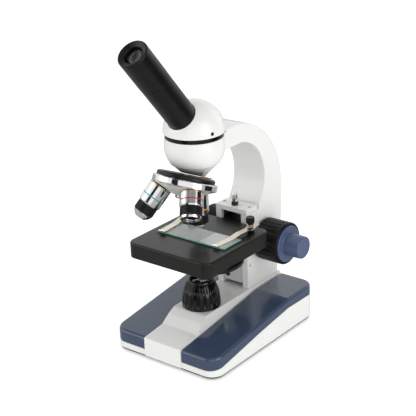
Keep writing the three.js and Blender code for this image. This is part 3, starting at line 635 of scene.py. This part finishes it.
low, high = box("stop_nut")
nut = lathe(rounded([(2.3, low.z), (3.2, low.z), (3.4, low.z + 0.3), (3.4, high.z - 0.3), (3.2, high.z), (2.3, high.z)]), 6, True)
finished("stop_nut", shift(nut, (0, stop.y, 0)), BLACK_PAINT, edge=0.1)

low, high = box("stop_screw")
head_from = 118.4
thread = [(1.75 + 0.25 * (turn_no % 2), low.z + 0.4 + 0.4 * turn_no) for turn_no in range(21)]
stop_profile = [(0, low.z), (1.6, low.z), *thread, (1.8, head_from)]
stop_profile += rounded([(1.8, head_from), (2.8, head_from, 0.3), (2.8, high.z, 0.5), (0, high.z)])[1:]
screw = boolean(lathe(stop_profile, 48), [turn(brick((-4, -0.35, high.z - 1), (4, 0.35, high.z + 1)), -30, Z)])
finished("stop_screw", shift(screw, (0, stop.y, 0)), CHROME)

# ---- the column's front ---------------------------------------------------------------------------
# A pressed cover, light grey, hides the foot of the slide in the column's front. One dark round-headed
# screw holds it. The black guide rails stand behind it in the milled channel.
GREY = enamel("light_grey_paint", (0.6, 0.6, 0.6), (0.52, 0.52, 0.52), 0.3)


def keep(node, material):
    """Gives a CAD piece that stays as it is a material of its own."""
    frame["nodes"][node].data.materials.clear()
    frame["nodes"][node].data.materials.append(material)


low, high = box("column_cover")
screw_low, screw_high = box("cover_screw")
screw_at = (screw_low + screw_high) / 2
cover = brick(low, high)
soften(cover, 1.2, lambda edge: abs((edge.verts[0].co - edge.verts[1].co).y) > 0.5)
hole = shift(turn(rod(1.7, -5, 5), 90, X), (screw_at.x, low.y, screw_at.z))
finished("column_cover", boolean(cover, [hole]), GREY, edge=0.2)
pan = lathe(rounded([(0, 0), (2.4, 0), (2.4, 0.5), (1.9, 1.1, 0.6), (0, 1.3)]) )
cross = [turn(brick((-1.3, -0.22, 0.7), (1.3, 0.22, 2)), angle, Z) for angle in (20, 110)]
pan = boolean(pan, cross)
finished("cover_screw", shift(turn(pan, 90, X), (screw_at.x, COLUMN_FRONT + 0.2, screw_at.z)), BLACK_PAINT)
keep("slideway", BLACK_PAINT)

# ---- the focus drive ------------------------------------------------------------------------------
# The coarse knobs are black mouldings with broad ribs, pressed on the pinion's hollow shaft. The fine
# knobs sit in their faces on the shaft that runs through it: a flange and a barrel, moulded in navy.
NAVY = moulded("navy_plastic", (0.07, 0.102, 0.205), (0.058, 0.085, 0.172), 0.26, 0.004, gloss=0.8)
RIBS = 26
RIB_DEPTH = 0.8
coarse_low, coarse_high = box("coarse_knob_right")
knob_radius = (coarse_high.z - coarse_low.z) / 2


def coarse_knob():
    inner, outer = coarse_low.x, coarse_high.x
    side = rounded(
        [
            (5.5, inner),
            (knob_radius, inner, 1.6),
            (knob_radius, outer, 1.5),
            (17.5, outer, 0.3),
            (17.4, outer - 1.8),
            (3.4, outer - 1.8),
            (3.4, inner + 7),
            (5.5, inner + 7),
        ],
        6,
    )
    start = max(i for i, (radius, height) in enumerate(side) if height < inner + 2 and radius > 18)
    ribbed = [(knob_radius, inner + 2 + (outer - inner - 4.4) * i / 8) for i in range(9)]
    knob = lathe(side[: start + 1] + ribbed + side[start + 1 :], RIBS * 12, True)
    for vert in knob.verts:
        radius = math.hypot(vert.co.x, vert.co.y)
        if radius < knob_radius - 0.6:
            continue
        wave = math.cos(RIBS * math.atan2(vert.co.y, vert.co.x))
        along = eased(vert.co.z, inner + 0.3, inner + 2.2) * (1 - eased(vert.co.z, outer - 3.4, outer - 2.2))
        vert.co.xy *= 1 - RIB_DEPTH * eased(wave, 0.5, 0.95) * along / radius
    return turn(knob, 90, Y)


def fine_knob():
    low, high = box("fine_knob_right")
    flange = (high.z - low.z) / 2
    profile = [
        (0, low.x), (flange, low.x, 0.3), (flange, low.x + 2.8, 0.9), (10.8, low.x + 2.3, 0.9), (10.3, high.x, 1),
        (8.2, high.x, 0.4), (7.8, high.x - 0.2), (0, high.x - 0.3),
    ]
    return turn(lathe(rounded(profile, 6), 96), 90, Y)


for side, word in ((1, "right"), (-1, "left")):
    for node, shape, material in (("coarse_knob_", coarse_knob(), BLACK_PLASTIC), ("fine_knob_", fine_knob(), NAVY)):
        if side < 0:
            turn(shape, 180, Z)
        finished(node + word, shift(shape, SHAFT), material, angle=50)
keep("pinion_shaft", STEEL)
keep("fine_shaft", STEEL)
keep("focus_rack", BRASS)

# ---- the stage ------------------------------------------------------------------------------------
# A square die-cast plate with rounded corners, painted matt black. It is hollow below, where a lens and
# a turning disc with six light stops hang under the hole in its middle.
MATT_BLACK = enamel("matt_black_paint", (0.010, 0.009, 0.0075), (0.006, 0.0055, 0.005), 0.33, 0.015, gloss=0.35, coat=0.1)
low, high = box("stage_plate")
STAGE_CORNER, STAGE_DECK, STAGE_RIM = 8, 5, 4
deck_bottom = high.z - STAGE_DECK


def square(inset, radius, bottom, top):
    left, right, front, back = low.x + inset, high.x - inset, low.y + inset, high.y - inset
    corners = [(left, front), (right, front), (right, back), (left, back)]
    return slab(rounded([(*corner, radius) for corner in corners], 8), bottom, top)


disc_low, disc_high = box("diaphragm_disc")
disc_at = (disc_low + disc_high) / 2
posts = {word: (box("clip_post_" + word)[0] + box("clip_post_" + word)[1]) / 2 for word in ("left", "right")}
plate = square(0, STAGE_CORNER, low.z, high.z)
soften(plate, 1.5, lambda edge: middle_of(edge).z > high.z - 0.1, 6)
soften(plate, 0.6, lambda edge: middle_of(edge).z < low.z + 0.1, 3)
plate = boolean(plate, [square(STAGE_RIM, STAGE_CORNER - STAGE_RIM, low.z - 2, deck_bottom)])
bosses = [rod(13, disc_high.z + 1, deck_bottom + 1), shift(rod(5, disc_high.z + 0.4, deck_bottom + 1), (disc_at.x, disc_at.y, 0))]
plate = boolean(plate, bosses, "UNION")
holes = [rod(10.9, 80, 97, 64), rod(8, 80, 110, 64), shift(rod(2.2, 80, 97.5), (disc_at.x, disc_at.y, 0))]
holes += [shift(rod(2.3, 90, 110), (at.x, at.y, 0)) for at in posts.values()]
plate = boolean(plate, [brick((-9.4, 30, low.z - 2), (9.4, 50, deck_bottom)), *holes])
finished("stage_plate", plate, MATT_BLACK, edge=0.25, angle=40)

carriage_low, carriage_high = box("focus_carriage")
carriage = boolean(
    brick((-8.5, 50, carriage_low.z), (8.5, carriage_high.y, 102.4)),
    [brick((-9, carriage_low.y, 92), (9, 51, carriage_high.z))],
    "UNION",
)
finished("focus_carriage", carriage, BLACK_PAINT, edge=0.5)

lens_low, lens_high = box("condenser_lens")
lens_radius = lens_high.x
lens = [(0, lens_low.z), (lens_radius, lens_low.z, 0.3), (lens_radius, lens_low.z + 1.4, 0.2)]
lens = rounded(lens) + [(r, lens_high.z - 4.2 * (r / lens_radius) ** 2) for r in (9, 7.5, 6, 4.5, 3, 1.5, 0)]
finished("condenser_lens", lathe(lens), OPTIC)

stop_ring = math.hypot(disc_at.x, disc_at.y)
stop_start = math.atan2(-disc_at.y, -disc_at.x)
disc_radius = (disc_high.x - disc_low.x) / 2
disc = rod(disc_radius, disc_low.z, disc_high.z, 128)
stops = [rod(2.2, 80, 95, 48)]
for i, radius in enumerate((5.5, 4.5, 3.5, 2.6, 1.8, 1.2)):
    angle = stop_start + i * math.pi / 3
    stops.append(shift(rod(radius, 80, 95), (stop_ring * math.cos(angle), stop_ring * math.sin(angle), 0)))
finished("diaphragm_disc", shift(boolean(disc, stops), (disc_at.x, disc_at.y, 0)), BLACK_PAINT, edge=0.35)
low, high = box("diaphragm_screw")
screw = lathe(rounded([(0, low.z), (3.4, low.z, 0.4), (4.2, low.z + 1), (4.2, 85.7, 0.2), (1.9, 85.7), (1.9, high.z), (0, high.z)]), 48)
screw = boolean(screw, [brick((-5, -0.5, low.z - 1), (5, 0.5, low.z + 0.9))])
finished("diaphragm_screw", shift(screw, (disc_at.x, disc_at.y, 0)), STEEL)

# ---- the glass slide ------------------------------------------------------------------------------
# A prepared slide: sheet glass with green cut edges, a frosted label field towards one end, and a
# small ring of coloured lacquer round the specimen.
low, high = box("glass_slide")
middle = (low + high) / 2


def slide_glass():
    made, skin, place = surface("slide_glass", {"IOR": 1.5, "Coat Weight": 0.6})
    centred = place.node(
        "ShaderNodeMapping",
        {"vector_type": "POINT"},
        {"Vector": place, "Location": -(middle * MM + AXIS) / MM, "Scale": (1 / MM, 1 / MM, 1 / MM)},
    )
    parts = [centred.node("ShaderNodeSeparateXYZ", {}, {"Vector": centred}, output=i) for i in range(2)]
    across, along = parts
    half = (high - low) / 2
    from_edge = (half.x - across.math("ABSOLUTE", across)).math(
        "MINIMUM", half.x - across.math("ABSOLUTE", across), half.y - along.math("ABSOLUTE", along)
    )
    edge = from_edge < 0.55
    ring_x, ring_y = across - 1.5, along + 2.7
    radius = ring_x.math("SQRT", ring_x * ring_x + ring_y * ring_y)
    ring = radius.math("ABSOLUTE", radius - 2.3) < 0.35
    label = (across > 9.5) * (across < 34)
    frost = speckle(place, 1.6, 3)
    cloud = speckle(place, 7, 2)
    tone = between(cloud, (0.42, 0.47, 0.44), (0.5, 0.54, 0.51))
    tone = between(label, tone, (0.74, 0.76, 0.77))
    tone = between(edge, tone, (0.12, 0.42, 0.33))
    tone = between(ring, tone, (0.1, 0.45, 0.36))
    feed(
        skin,
        base_color=tone,
        roughness=label * 0.3 + frost * 0.15 + 0.06,
        alpha=label * 0.12 + frost * 0.1 + edge * 0.1 + ring * 0.2 + 0.62,
    )
    return made


finished("glass_slide", brick(low, high), slide_glass(), edge=0.12)

# ---- the stage clips ------------------------------------------------------------------------------
# Each clip is a bent leaf of nickelled spring steel. It turns on a post screwed into the stage, under a
# short coil spring and a knurled black head that a finger presses to lift the leaf.
NICKEL = metal("nickelled_spring_steel", (0.82, 0.76, 0.66), (0.74, 0.67, 0.56), 0.2, (1, 0.1, 1), 0.002)
KNURLS = 30
leaf_line = [
    (9.5, 108.2), (4, 106.6, 4), (-15.8, 106.6, 6), (-26.8, 105.1, 6), (-44.2, 105.1, 1), (-46.4, 106.2),
    (-46, 106.9), (-44, 105.9, 1), (-27, 105.9, 6), (-16, 107.4, 6), (3.8, 107.4, 4), (9.2, 109),
]
for word, side in (("left", -1), ("right", 1)):
    at = posts[word]
    leaf = slab(rounded(leaf_line, 4), -3.1, 3.1, X)
    leaf = boolean(leaf, [rod(4.4, 106.6, 107.4)], "UNION")
    leaf = boolean(leaf, [rod(2.2, 100, 110)])
    turn(leaf, -4.5 * side, Z)
    finished("clip_" + word, shift(leaf, (at.x, at.y, 0)), NICKEL, edge=0.15)

    low, high = box("clip_post_" + word)
    profile = [
        (0, low.z), (1.9, low.z), (1.9, 103.6), (3.3, 103.6, 0.3), (3.3, 106.2, 0.3), (1.9, 106.2), (1.9, 111.9),
        (3.5, 111.9, 0.4), (3.5, 112.6), (3.8, 112.8), (3.9, 117, 0.4), (3.2, high.z, 0.4), (2.6, high.z - 0.25), (0, high.z - 0.35),
    ]
    post = lathe(rounded(profile, 4), KNURLS * 6)
    for vert in post.verts:
        radius = math.hypot(vert.co.x, vert.co.y)
        if radius > 3.7 and vert.co.z > 112.7:
            wave = math.cos(KNURLS * math.atan2(vert.co.y, vert.co.x))
            vert.co.xy *= 1 - 0.22 * eased(wave, -0.6, 0.9) / radius
    finished("clip_post_" + word, shift(post, (at.x, at.y, 0)), GLOSS_BLACK)

    coil = bmesh.new()
    bmesh.ops.create_circle(coil, segments=10, radius=0.42)
    turn(coil, 90, X)
    shift(coil, (2.75, 0, 107.9))
    turns, steps = 3.5, 28
    rise = Z * (111.4 - 107.9) / (turns * steps)
    wire = coil.verts[:] + coil.edges[:]
    sweep = {"axis": Z, "cent": (0, 0, 0), "angle": turns * 2 * math.pi, "steps": int(turns * steps)}
    bmesh.ops.spin(coil, geom=wire, dvec=rise, **sweep)
    bmesh.ops.holes_fill(coil, edges=[edge for edge in coil.edges if len(edge.link_faces) == 1])
    bmesh.ops.recalc_face_normals(coil, faces=coil.faces)
    finished("clip_post_" + word, shift(coil, (at.x, at.y, 0)), NICKEL, part="spring")

# ---- the nosepiece --------------------------------------------------------------------------------
# A black plate is screwed to the underside of the bowl, tilted back. The chromed turret turns on it: a
# smooth rim for the fingers and a cone below, with a seat for each objective.
RIM_RADIUS, SEAT = 28.3, 49.2
slant = math.tan(math.radians(TILT))


def cone_at(radius):
    """How far down its axis the turret's cone lies at a radius."""
    seat_radius = SEAT * math.sin(math.radians(TILT))
    return SEAT * math.cos(math.radians(TILT)) + (seat_radius - radius) * slant


def tilted(bm):
    """From the turret's own axis to its place."""
    return shift(turn(bm, -TILT, X), APEX)


plate = lathe(rounded([(0, -35.6), (25.4, -35.6, 0.6), (25.4, -33, 0.5), (24.4, -31.9, 0.4), (0, -31.9)]), 96)
finished("nosepiece_plate", tilted(plate), BLACK_PAINT)
SATIN_CHROME = metal("satin_chrome", (0.84, 0.84, 0.83), (0.76, 0.76, 0.75), 0.42, (1, 1, 0.2), 0.002)
SATIN_CHROME.node_tree.nodes["Principled BSDF"].inputs["Metallic"].default_value = 0.55
turret = [
    (RIM_RADIUS - 1.2, -cone_at(RIM_RADIUS - 1.2)),
    (RIM_RADIUS - 0.4, -cone_at(RIM_RADIUS - 0.4), 0.25),
    (RIM_RADIUS, -cone_at(RIM_RADIUS) + 0.6, 0.25),
    (RIM_RADIUS, -36.6, 0.4),
    (RIM_RADIUS - 0.7, -35.9, 0.2),
    (25.6, -35.9),
    (25.3, -36.2),
    (20, -36.2),
]
cone = [(0, -cone_at(8)), (8, -cone_at(8), 0.8), (RIM_RADIUS - 1.2, -cone_at(RIM_RADIUS - 1.2)), (20, -36.2), (0, -36.2)]
finished("turret", tilted(lathe(rounded(turret), 160, True)), CHROME)
finished("turret", tilted(lathe(rounded(cone), 160)), SATIN_CHROME, part="cone")
bottom = cone_at(8) + 0.3
pivot = [(0, -bottom - 2.6), (5, -bottom - 2.6, 0.5), (6, -bottom - 1.6, 0.5), (6, -bottom), (2.3, -bottom), (2.3, -31.2), (0, -31.2)]
pivot = boolean(lathe(rounded(pivot), 64), [brick((-7, -0.6, -bottom - 4), (7, 0.6, -bottom - 1.7))])
finished("turret_screw", tilted(pivot), STEEL)
keep("click_spring", BRASS)

# ---- the objectives -------------------------------------------------------------------------------
# Three objectives screw into the turret, each a chromed barrel with a brass shoulder, a coloured ring
# for its power, a knurled black grip and a chromed nose with the front lens in its mouth. Painted shade
# darkens the mouth: the front lens is tinted dark and a black disc closes the bore behind it.
BARREL = 10.1
TEETH = 56


def lacquer(name, colour):
    dark = tuple(channel * 0.8 for channel in colour)
    return enamel(name, colour, dark, 0.25, 0.003)


OBJECTIVES = {
    "objective_low": {"bearing": 120, "grip": (62.7, 70, 9.5), "end": 72.6, "tip": (9.2, 8.8), "mouth": 7.6, "ring": 56.5},
    "objective_mid": {"bearing": 0, "grip": (68.4, 77, 9.3), "end": 80.2, "tip": (8.6, 5.6), "mouth": 3.6, "ring": 63},
    "objective_high": {"bearing": -120, "grip": (68.8, 77, 9.1), "end": 82.2, "tip": (8.7, 4.6), "mouth": 2.2, "ring": 61},
}
RINGS = {
    "objective_low": lacquer("red_lacquer", (0.5, 0.012, 0.02)),
    "objective_mid": lacquer("yellow_lacquer", (0.78, 0.42, 0.01)),
    "objective_high": lacquer("cyan_lacquer", (0.0, 0.28, 0.34)),
}


def grip_ring(start, end, radius):
    """A ring with straight knurls, bevelled at both ends."""
    profile = [(7.2, -end), (radius - 0.5, -end), (radius, -end + 0.5), (radius, -end + 1)]
    profile += [(radius, -start - 1), (radius, -start - 0.5), (radius - 0.5, -start), (7.2, -start)]
    ring = lathe(profile, TEETH * 6, True)
    for vert in ring.verts:
        reach = math.hypot(vert.co.x, vert.co.y)
        if reach > radius - 0.1:
            wave = math.cos(TEETH * math.atan2(vert.co.y, vert.co.x))
            vert.co.xy *= 1 - 0.3 * eased(wave, -0.7, 0.8) / reach
    return ring


# The front lenses are tinted nearly black: painted shade for the unlit inside of the objective; only a faint coating
# tint is real.
FRONT_GLASS_PAINTED_DARK = polished_glass("front_lens_painted_dark", (0.2, 0.17, 0.25))

for node, spec in OBJECTIVES.items():
    def placed(bm):
        return tilted(turn(turn(bm, TILT, X), -spec["bearing"], Z))

    start, end, grip_radius = spec["grip"]
    wide, narrow = spec["tip"]
    foot = spec["end"]
    top = SEAT + 0.3
    barrel = [
        (7.2, -start + 0.3), (9.5, -start + 0.3, 0.2), (BARREL, -start + 1.5, 0.3), (BARREL, -start + 2.6),
        (BARREL - 0.2, -start + 2.7), (BARREL - 0.2, -start + 3), (BARREL, -start + 3.1),
        (BARREL, -spec["ring"] - 0.5), (BARREL - 0.12, -spec["ring"] - 0.5), (BARREL - 0.12, -spec["ring"] + 0.5),
        (BARREL, -spec["ring"] + 0.5), (BARREL, -top - 1.2), (BARREL - 0.2, -top - 1.1), (BARREL - 0.2, -top),
        (5.8, -top), (5.8, -top - 4), (7.2, -top - 5),
    ]
    finished(node + "_barrel", placed(lathe(rounded(barrel), 96, True)), CHROME)
    shoulder = [(9.7, -top - 0.9), (BARREL + 0.1, -top - 0.9), (BARREL + 0.1, -top - 0.1), (9.7, -top - 0.1)]
    finished(node + "_barrel", placed(lathe(shoulder, 96, True)), BRASS, part="shoulder")
    band = [(BARREL - 0.2, -spec["ring"] - 0.45), (BARREL + 0.03, -spec["ring"] - 0.45)]
    band += [(BARREL + 0.03, -spec["ring"] + 0.45), (BARREL - 0.2, -spec["ring"] + 0.45)]
    finished(node + "_barrel", placed(lathe(band, 96, True)), RINGS[node], part="ring")
    finished(node + "_grip", placed(grip_ring(start, end, grip_radius)), BLACK_PAINT)
    neck = end + 0.3
    halfway = (neck + foot) / 2
    nose = [
        (spec["mouth"], -foot, 0.1), (narrow, -foot, 0.25), ((wide * 2 + narrow) / 3, -halfway, 0.4), (wide, -neck, 0.2),
        (6.9, -neck), (6.9, -start), (5.6, -start), (5.6, -neck), (spec["mouth"], -foot + 1.2),
    ]
    finished(node + "_nose", placed(lathe(rounded(nose), 96, True)), CHROME)
    reach = spec["mouth"] + 0.1
    bulge = [(reach * (1 - i / 6), -foot + 1.5 - 0.6 * (1 - (1 - i / 6) ** 2)) for i in range(7)]
    front = [(0, -foot + 4), (reach, -foot + 4), *bulge]
    finished(node + "_nose", placed(lathe(front, 64)), FRONT_GLASS_PAINTED_DARK, part="front_lens")
    # A black disc across the bore behind the front lens: painted shade for the dark depth of the objective.
    painted_shade_disc = [(0, -foot + 4.4), (0, -foot + 4.9), (5.5, -foot + 4.9), (5.5, -foot + 4.4)]
    finished(node + "_nose", placed(lathe(painted_shade_disc, 48, True)), BLACK_PAINT, part="stop")

# ---- the head -------------------------------------------------------------------------------------
# A black ring lies between the bowl and the white dome that swivels on it. A grub screw in the dome's
# side clamps it, and the black draw tube leans forward out of it with the eyepiece in its end.
TUBE_LEAN, TUBE_PIVOT = 40.3, 198.4
TUBE_RADIUS, TUBE_START, TUBE_SEAM, TUBE_LENGTH = 13.25, 21, 74, 110.5
DOME_RADIUS, DOME_CENTRE = 26.7, 200.7
SCREW_BEARING = -15.5


def leaned(bm):
    """From the tube's own axis to its place."""
    return shift(turn(bm, TUBE_LEAN, X), (0, 0, TUBE_PIVOT))


low, high = box("swivel_ring")
ring = [(12, low.z), (high.x, low.z, 0.35), (high.x, high.z, 0.35), (12, high.z)]
finished("swivel_ring", lathe(rounded(ring), 128, True), GLOSS_BLACK)

low, high = box("head_dome")
dome = [(0, low.z), *rounded([(0, low.z), (26.4, low.z, 0.7), (DOME_RADIUS, DOME_CENTRE)])[1:-1]]
dome += [*arc((0, DOME_CENTRE), DOME_RADIUS, 0, 88, 36), (0, high.z)]
dome_cuts = [
    rod(11, 190, 215, 64),
    leaned(rod(TUBE_RADIUS + 0.25, TUBE_START - 0.3, 60, 128)),
    leaned(rod(9, 5, 30)),
    shift(turn(turn(rod(1.7, 15, 40, 32), 90, Y), SCREW_BEARING, Z), (0, 0, low.z + 3.6)),
]
finished("head_dome", boolean(lathe(dome, 160), dome_cuts), WHITE, edge=0.25, angle=45)
keep("prism", OPTIC)
keep("head_set_screw", BLACK_PAINT)

TUBE_BLACK = moulded("satin_black_tube", (0.004, 0.004, 0.0038), (0.0025, 0.0025, 0.0025), 0.24, 0.008, 0.3, gloss=0.35)
tube = [(11.9, TUBE_START), (TUBE_RADIUS - 0.15, TUBE_START, 0.4), (TUBE_RADIUS - 0.15, TUBE_SEAM, 0.3), (11.9, TUBE_SEAM)]
finished("draw_tube", leaned(lathe(rounded(tube), 128, True)), TUBE_BLACK)
eyepiece = [
    (9.6, 46), (11.6, 46, 0.3), (11.6, TUBE_SEAM + 0.3), (TUBE_RADIUS, TUBE_SEAM + 0.3, 0.3), (TUBE_RADIUS, TUBE_LENGTH - 0.1, 1.1),
    (11.9, TUBE_LENGTH - 0.1, 0.4), (8.2, TUBE_LENGTH - 1.9, 0.5), (7.6, TUBE_LENGTH - 3.2), (7.6, TUBE_LENGTH - 7), (9.6, TUBE_LENGTH - 8),
]
finished("eyepiece_body", leaned(lathe(rounded(eyepiece), 128, True)), TUBE_BLACK)
eye = [(0, TUBE_LENGTH - 6.4), (7.5, TUBE_LENGTH - 6.4)]
eye += [(7.5 * math.cos(math.radians(a)), TUBE_LENGTH - 5.8 + 2.6 * math.sin(math.radians(a))) for a in range(0, 91, 9)]
finished("eye_lens", leaned(lathe(eye, 96)), OPTIC)

# ---- the back of the base -------------------------------------------------------------------------
# A small black rocker switches the lamp, and a round socket beside it takes the plug of a power pack.
low, high = switch_low, switch_high
rocker = slab(
    rounded([(low.y, low.z), (high.y, low.z, 0.6), (high.y - 1.1, (low.z + high.z) / 2, 2), (high.y, high.z, 0.6), (low.y, high.z)]),
    low.x,
    high.x,
    X,
)
finished("power_switch", rocker, BLACK_PLASTIC, edge=0.3)
low, high = box("power_inlet")
depth = high.y - low.y
jack = [(0, depth), (4, depth), (4, 0, 0.4), (2.6, 0, 0.3), (2.6, depth - 1.4), (0.9, depth - 1.4), (0.9, 2, 0.4), (0, 2)]
finished("power_inlet", shift(turn(lathe(rounded(jack), 64), 90, X), (inlet.x, high.y, inlet.z)), BLACK_PLASTIC)

# ---- the studio -----------------------------------------------------------------------------------
# A white table that reaches past the view, wide soft lights above and to both sides, and a dimmer room
# around them with black flags on stands. Only glossy finishes pick up the room and the flags.
def table_top():
    made, skin, place = surface("table_top", {"Roughness": 0.9, "Specular IOR Level": 0, "Emission Strength": 0.4})
    mottle = speckle(place, 300, 2)
    mirrored = place.node("ShaderNodeLightPath", output="Is Glossy Ray")
    white = between(mottle, (0.92, 0.92, 0.92), (0.94, 0.94, 0.94))
    feed(
        skin,
        base_color=between(mirrored, white, (0.5, 0.5, 0.49)),
        emission_color=between(mirrored, (1, 1, 1), (0, 0, 0)),
    )
    return made


def stand_in_studio(name, bm, material):
    mesh = bpy.data.meshes.new(name)
    bm.to_mesh(mesh)
    bm.free()
    mesh.materials.append(material)
    made = bpy.data.objects.new(name, mesh)
    bpy.context.scene.collection.objects.link(made)
    return made


ground = bmesh.new()
bmesh.ops.create_grid(ground, x_segments=1, y_segments=1, size=6)
stand_in_studio("floor", ground, table_top())


def flag(name, bearing, distance, width, height):
    """A black card on edge that shows only in polished surfaces."""
    card = turn(brick((-width / 2, -distance - 0.002, 0), (width / 2, -distance, height)), bearing, Z)
    made = stand_in_studio(name, shift(card, AXIS), FELT)
    made.visible_camera = made.visible_diffuse = made.visible_shadow = made.visible_transmission = False


def softbox(name, place, aim, size, power):
    light = bpy.data.lights.new(name, "AREA")
    light.shape = "RECTANGLE"
    light.size, light.size_y = size
    light.energy = power
    made = bpy.data.objects.new(name, light)
    bpy.context.scene.collection.objects.link(made)
    made.location = place
    made.rotation_euler = (Vector(place) - Vector(aim)).to_track_quat("Z", "Y").to_euler()


AZIMUTH, ELEVATION, ROLL = 38.97, 21.75, -2.3  # of the camera, seen from the front
FELT = moulded("black_felt", (0.01, 0.01, 0.01), (0.005, 0.005, 0.005), 0.9)
flag("flag_left", AZIMUTH - 35, 0.3, 0.12, 0.5)
flag("flag_right", AZIMUTH + 84, 0.3, 0.2, 0.5)
CENTRE = (0, 0, 0.13)
softbox("overhead", (0.1, 0.15, 1.5), CENTRE, (1.6, 1.6), 1)
softbox("left", (-1.0, -1.0, 0.4), CENTRE, (0.9, 1.2), 3)
softbox("right", (1.3, -0.2, 0.45), CENTRE, (0.7, 1.1), 4.5)

world = bpy.data.worlds.new("studio")
bpy.context.scene.world = world
world.use_nodes = True
light_outlet = world.node_tree.nodes["Background"]
room = Field(world.node_tree, light_outlet.outputs[0])
mirrored = room.node("ShaderNodeLightPath", output="Is Glossy Ray")
towards = room.node("ShaderNodeTexCoord")
rise = room.node("ShaderNodeSeparateXYZ", {}, {"Vector": towards}, output=2)
seen = rise.node("ShaderNodeValToRGB", {"stops": [(0, (1, 1, 1)), (0.6, (1, 1, 1)), (0.72, (0.3, 0.3, 0.3)), (1, (0.3, 0.3, 0.3))]}, {0: rise})
world.node_tree.links.new(between(mirrored, (0.8, 0.8, 0.8), seen).socket, light_outlet.inputs["Color"])
light_outlet.inputs["Strength"].default_value = 0.98

DISTANCE = 1.01463
LOOK_AT = AXIS + Vector((0, 0.0146, 0.12456))
azimuth, elevation, roll = (math.radians(angle) for angle in (AZIMUTH, ELEVATION, ROLL))
back = Vector((math.sin(azimuth) * math.cos(elevation), -math.cos(azimuth) * math.cos(elevation), math.sin(elevation)))
right = Vector((math.cos(azimuth), math.sin(azimuth), 0))
up = back.cross(right)
across = right * math.cos(roll) + up * math.sin(roll)
upward = up * math.cos(roll) - right * math.sin(roll)
camera = bpy.data.objects.new("camera", bpy.data.cameras.new("camera"))
bpy.context.scene.collection.objects.link(camera)
camera.matrix_world = Matrix.Translation(LOOK_AT + back * DISTANCE) @ Matrix((across, upward, back)).transposed().to_4x4()
camera.data.lens = 99.8
camera.data.clip_end = 30
bpy.context.scene.camera = camera
bpy.context.scene.view_settings.view_transform = "Standard"
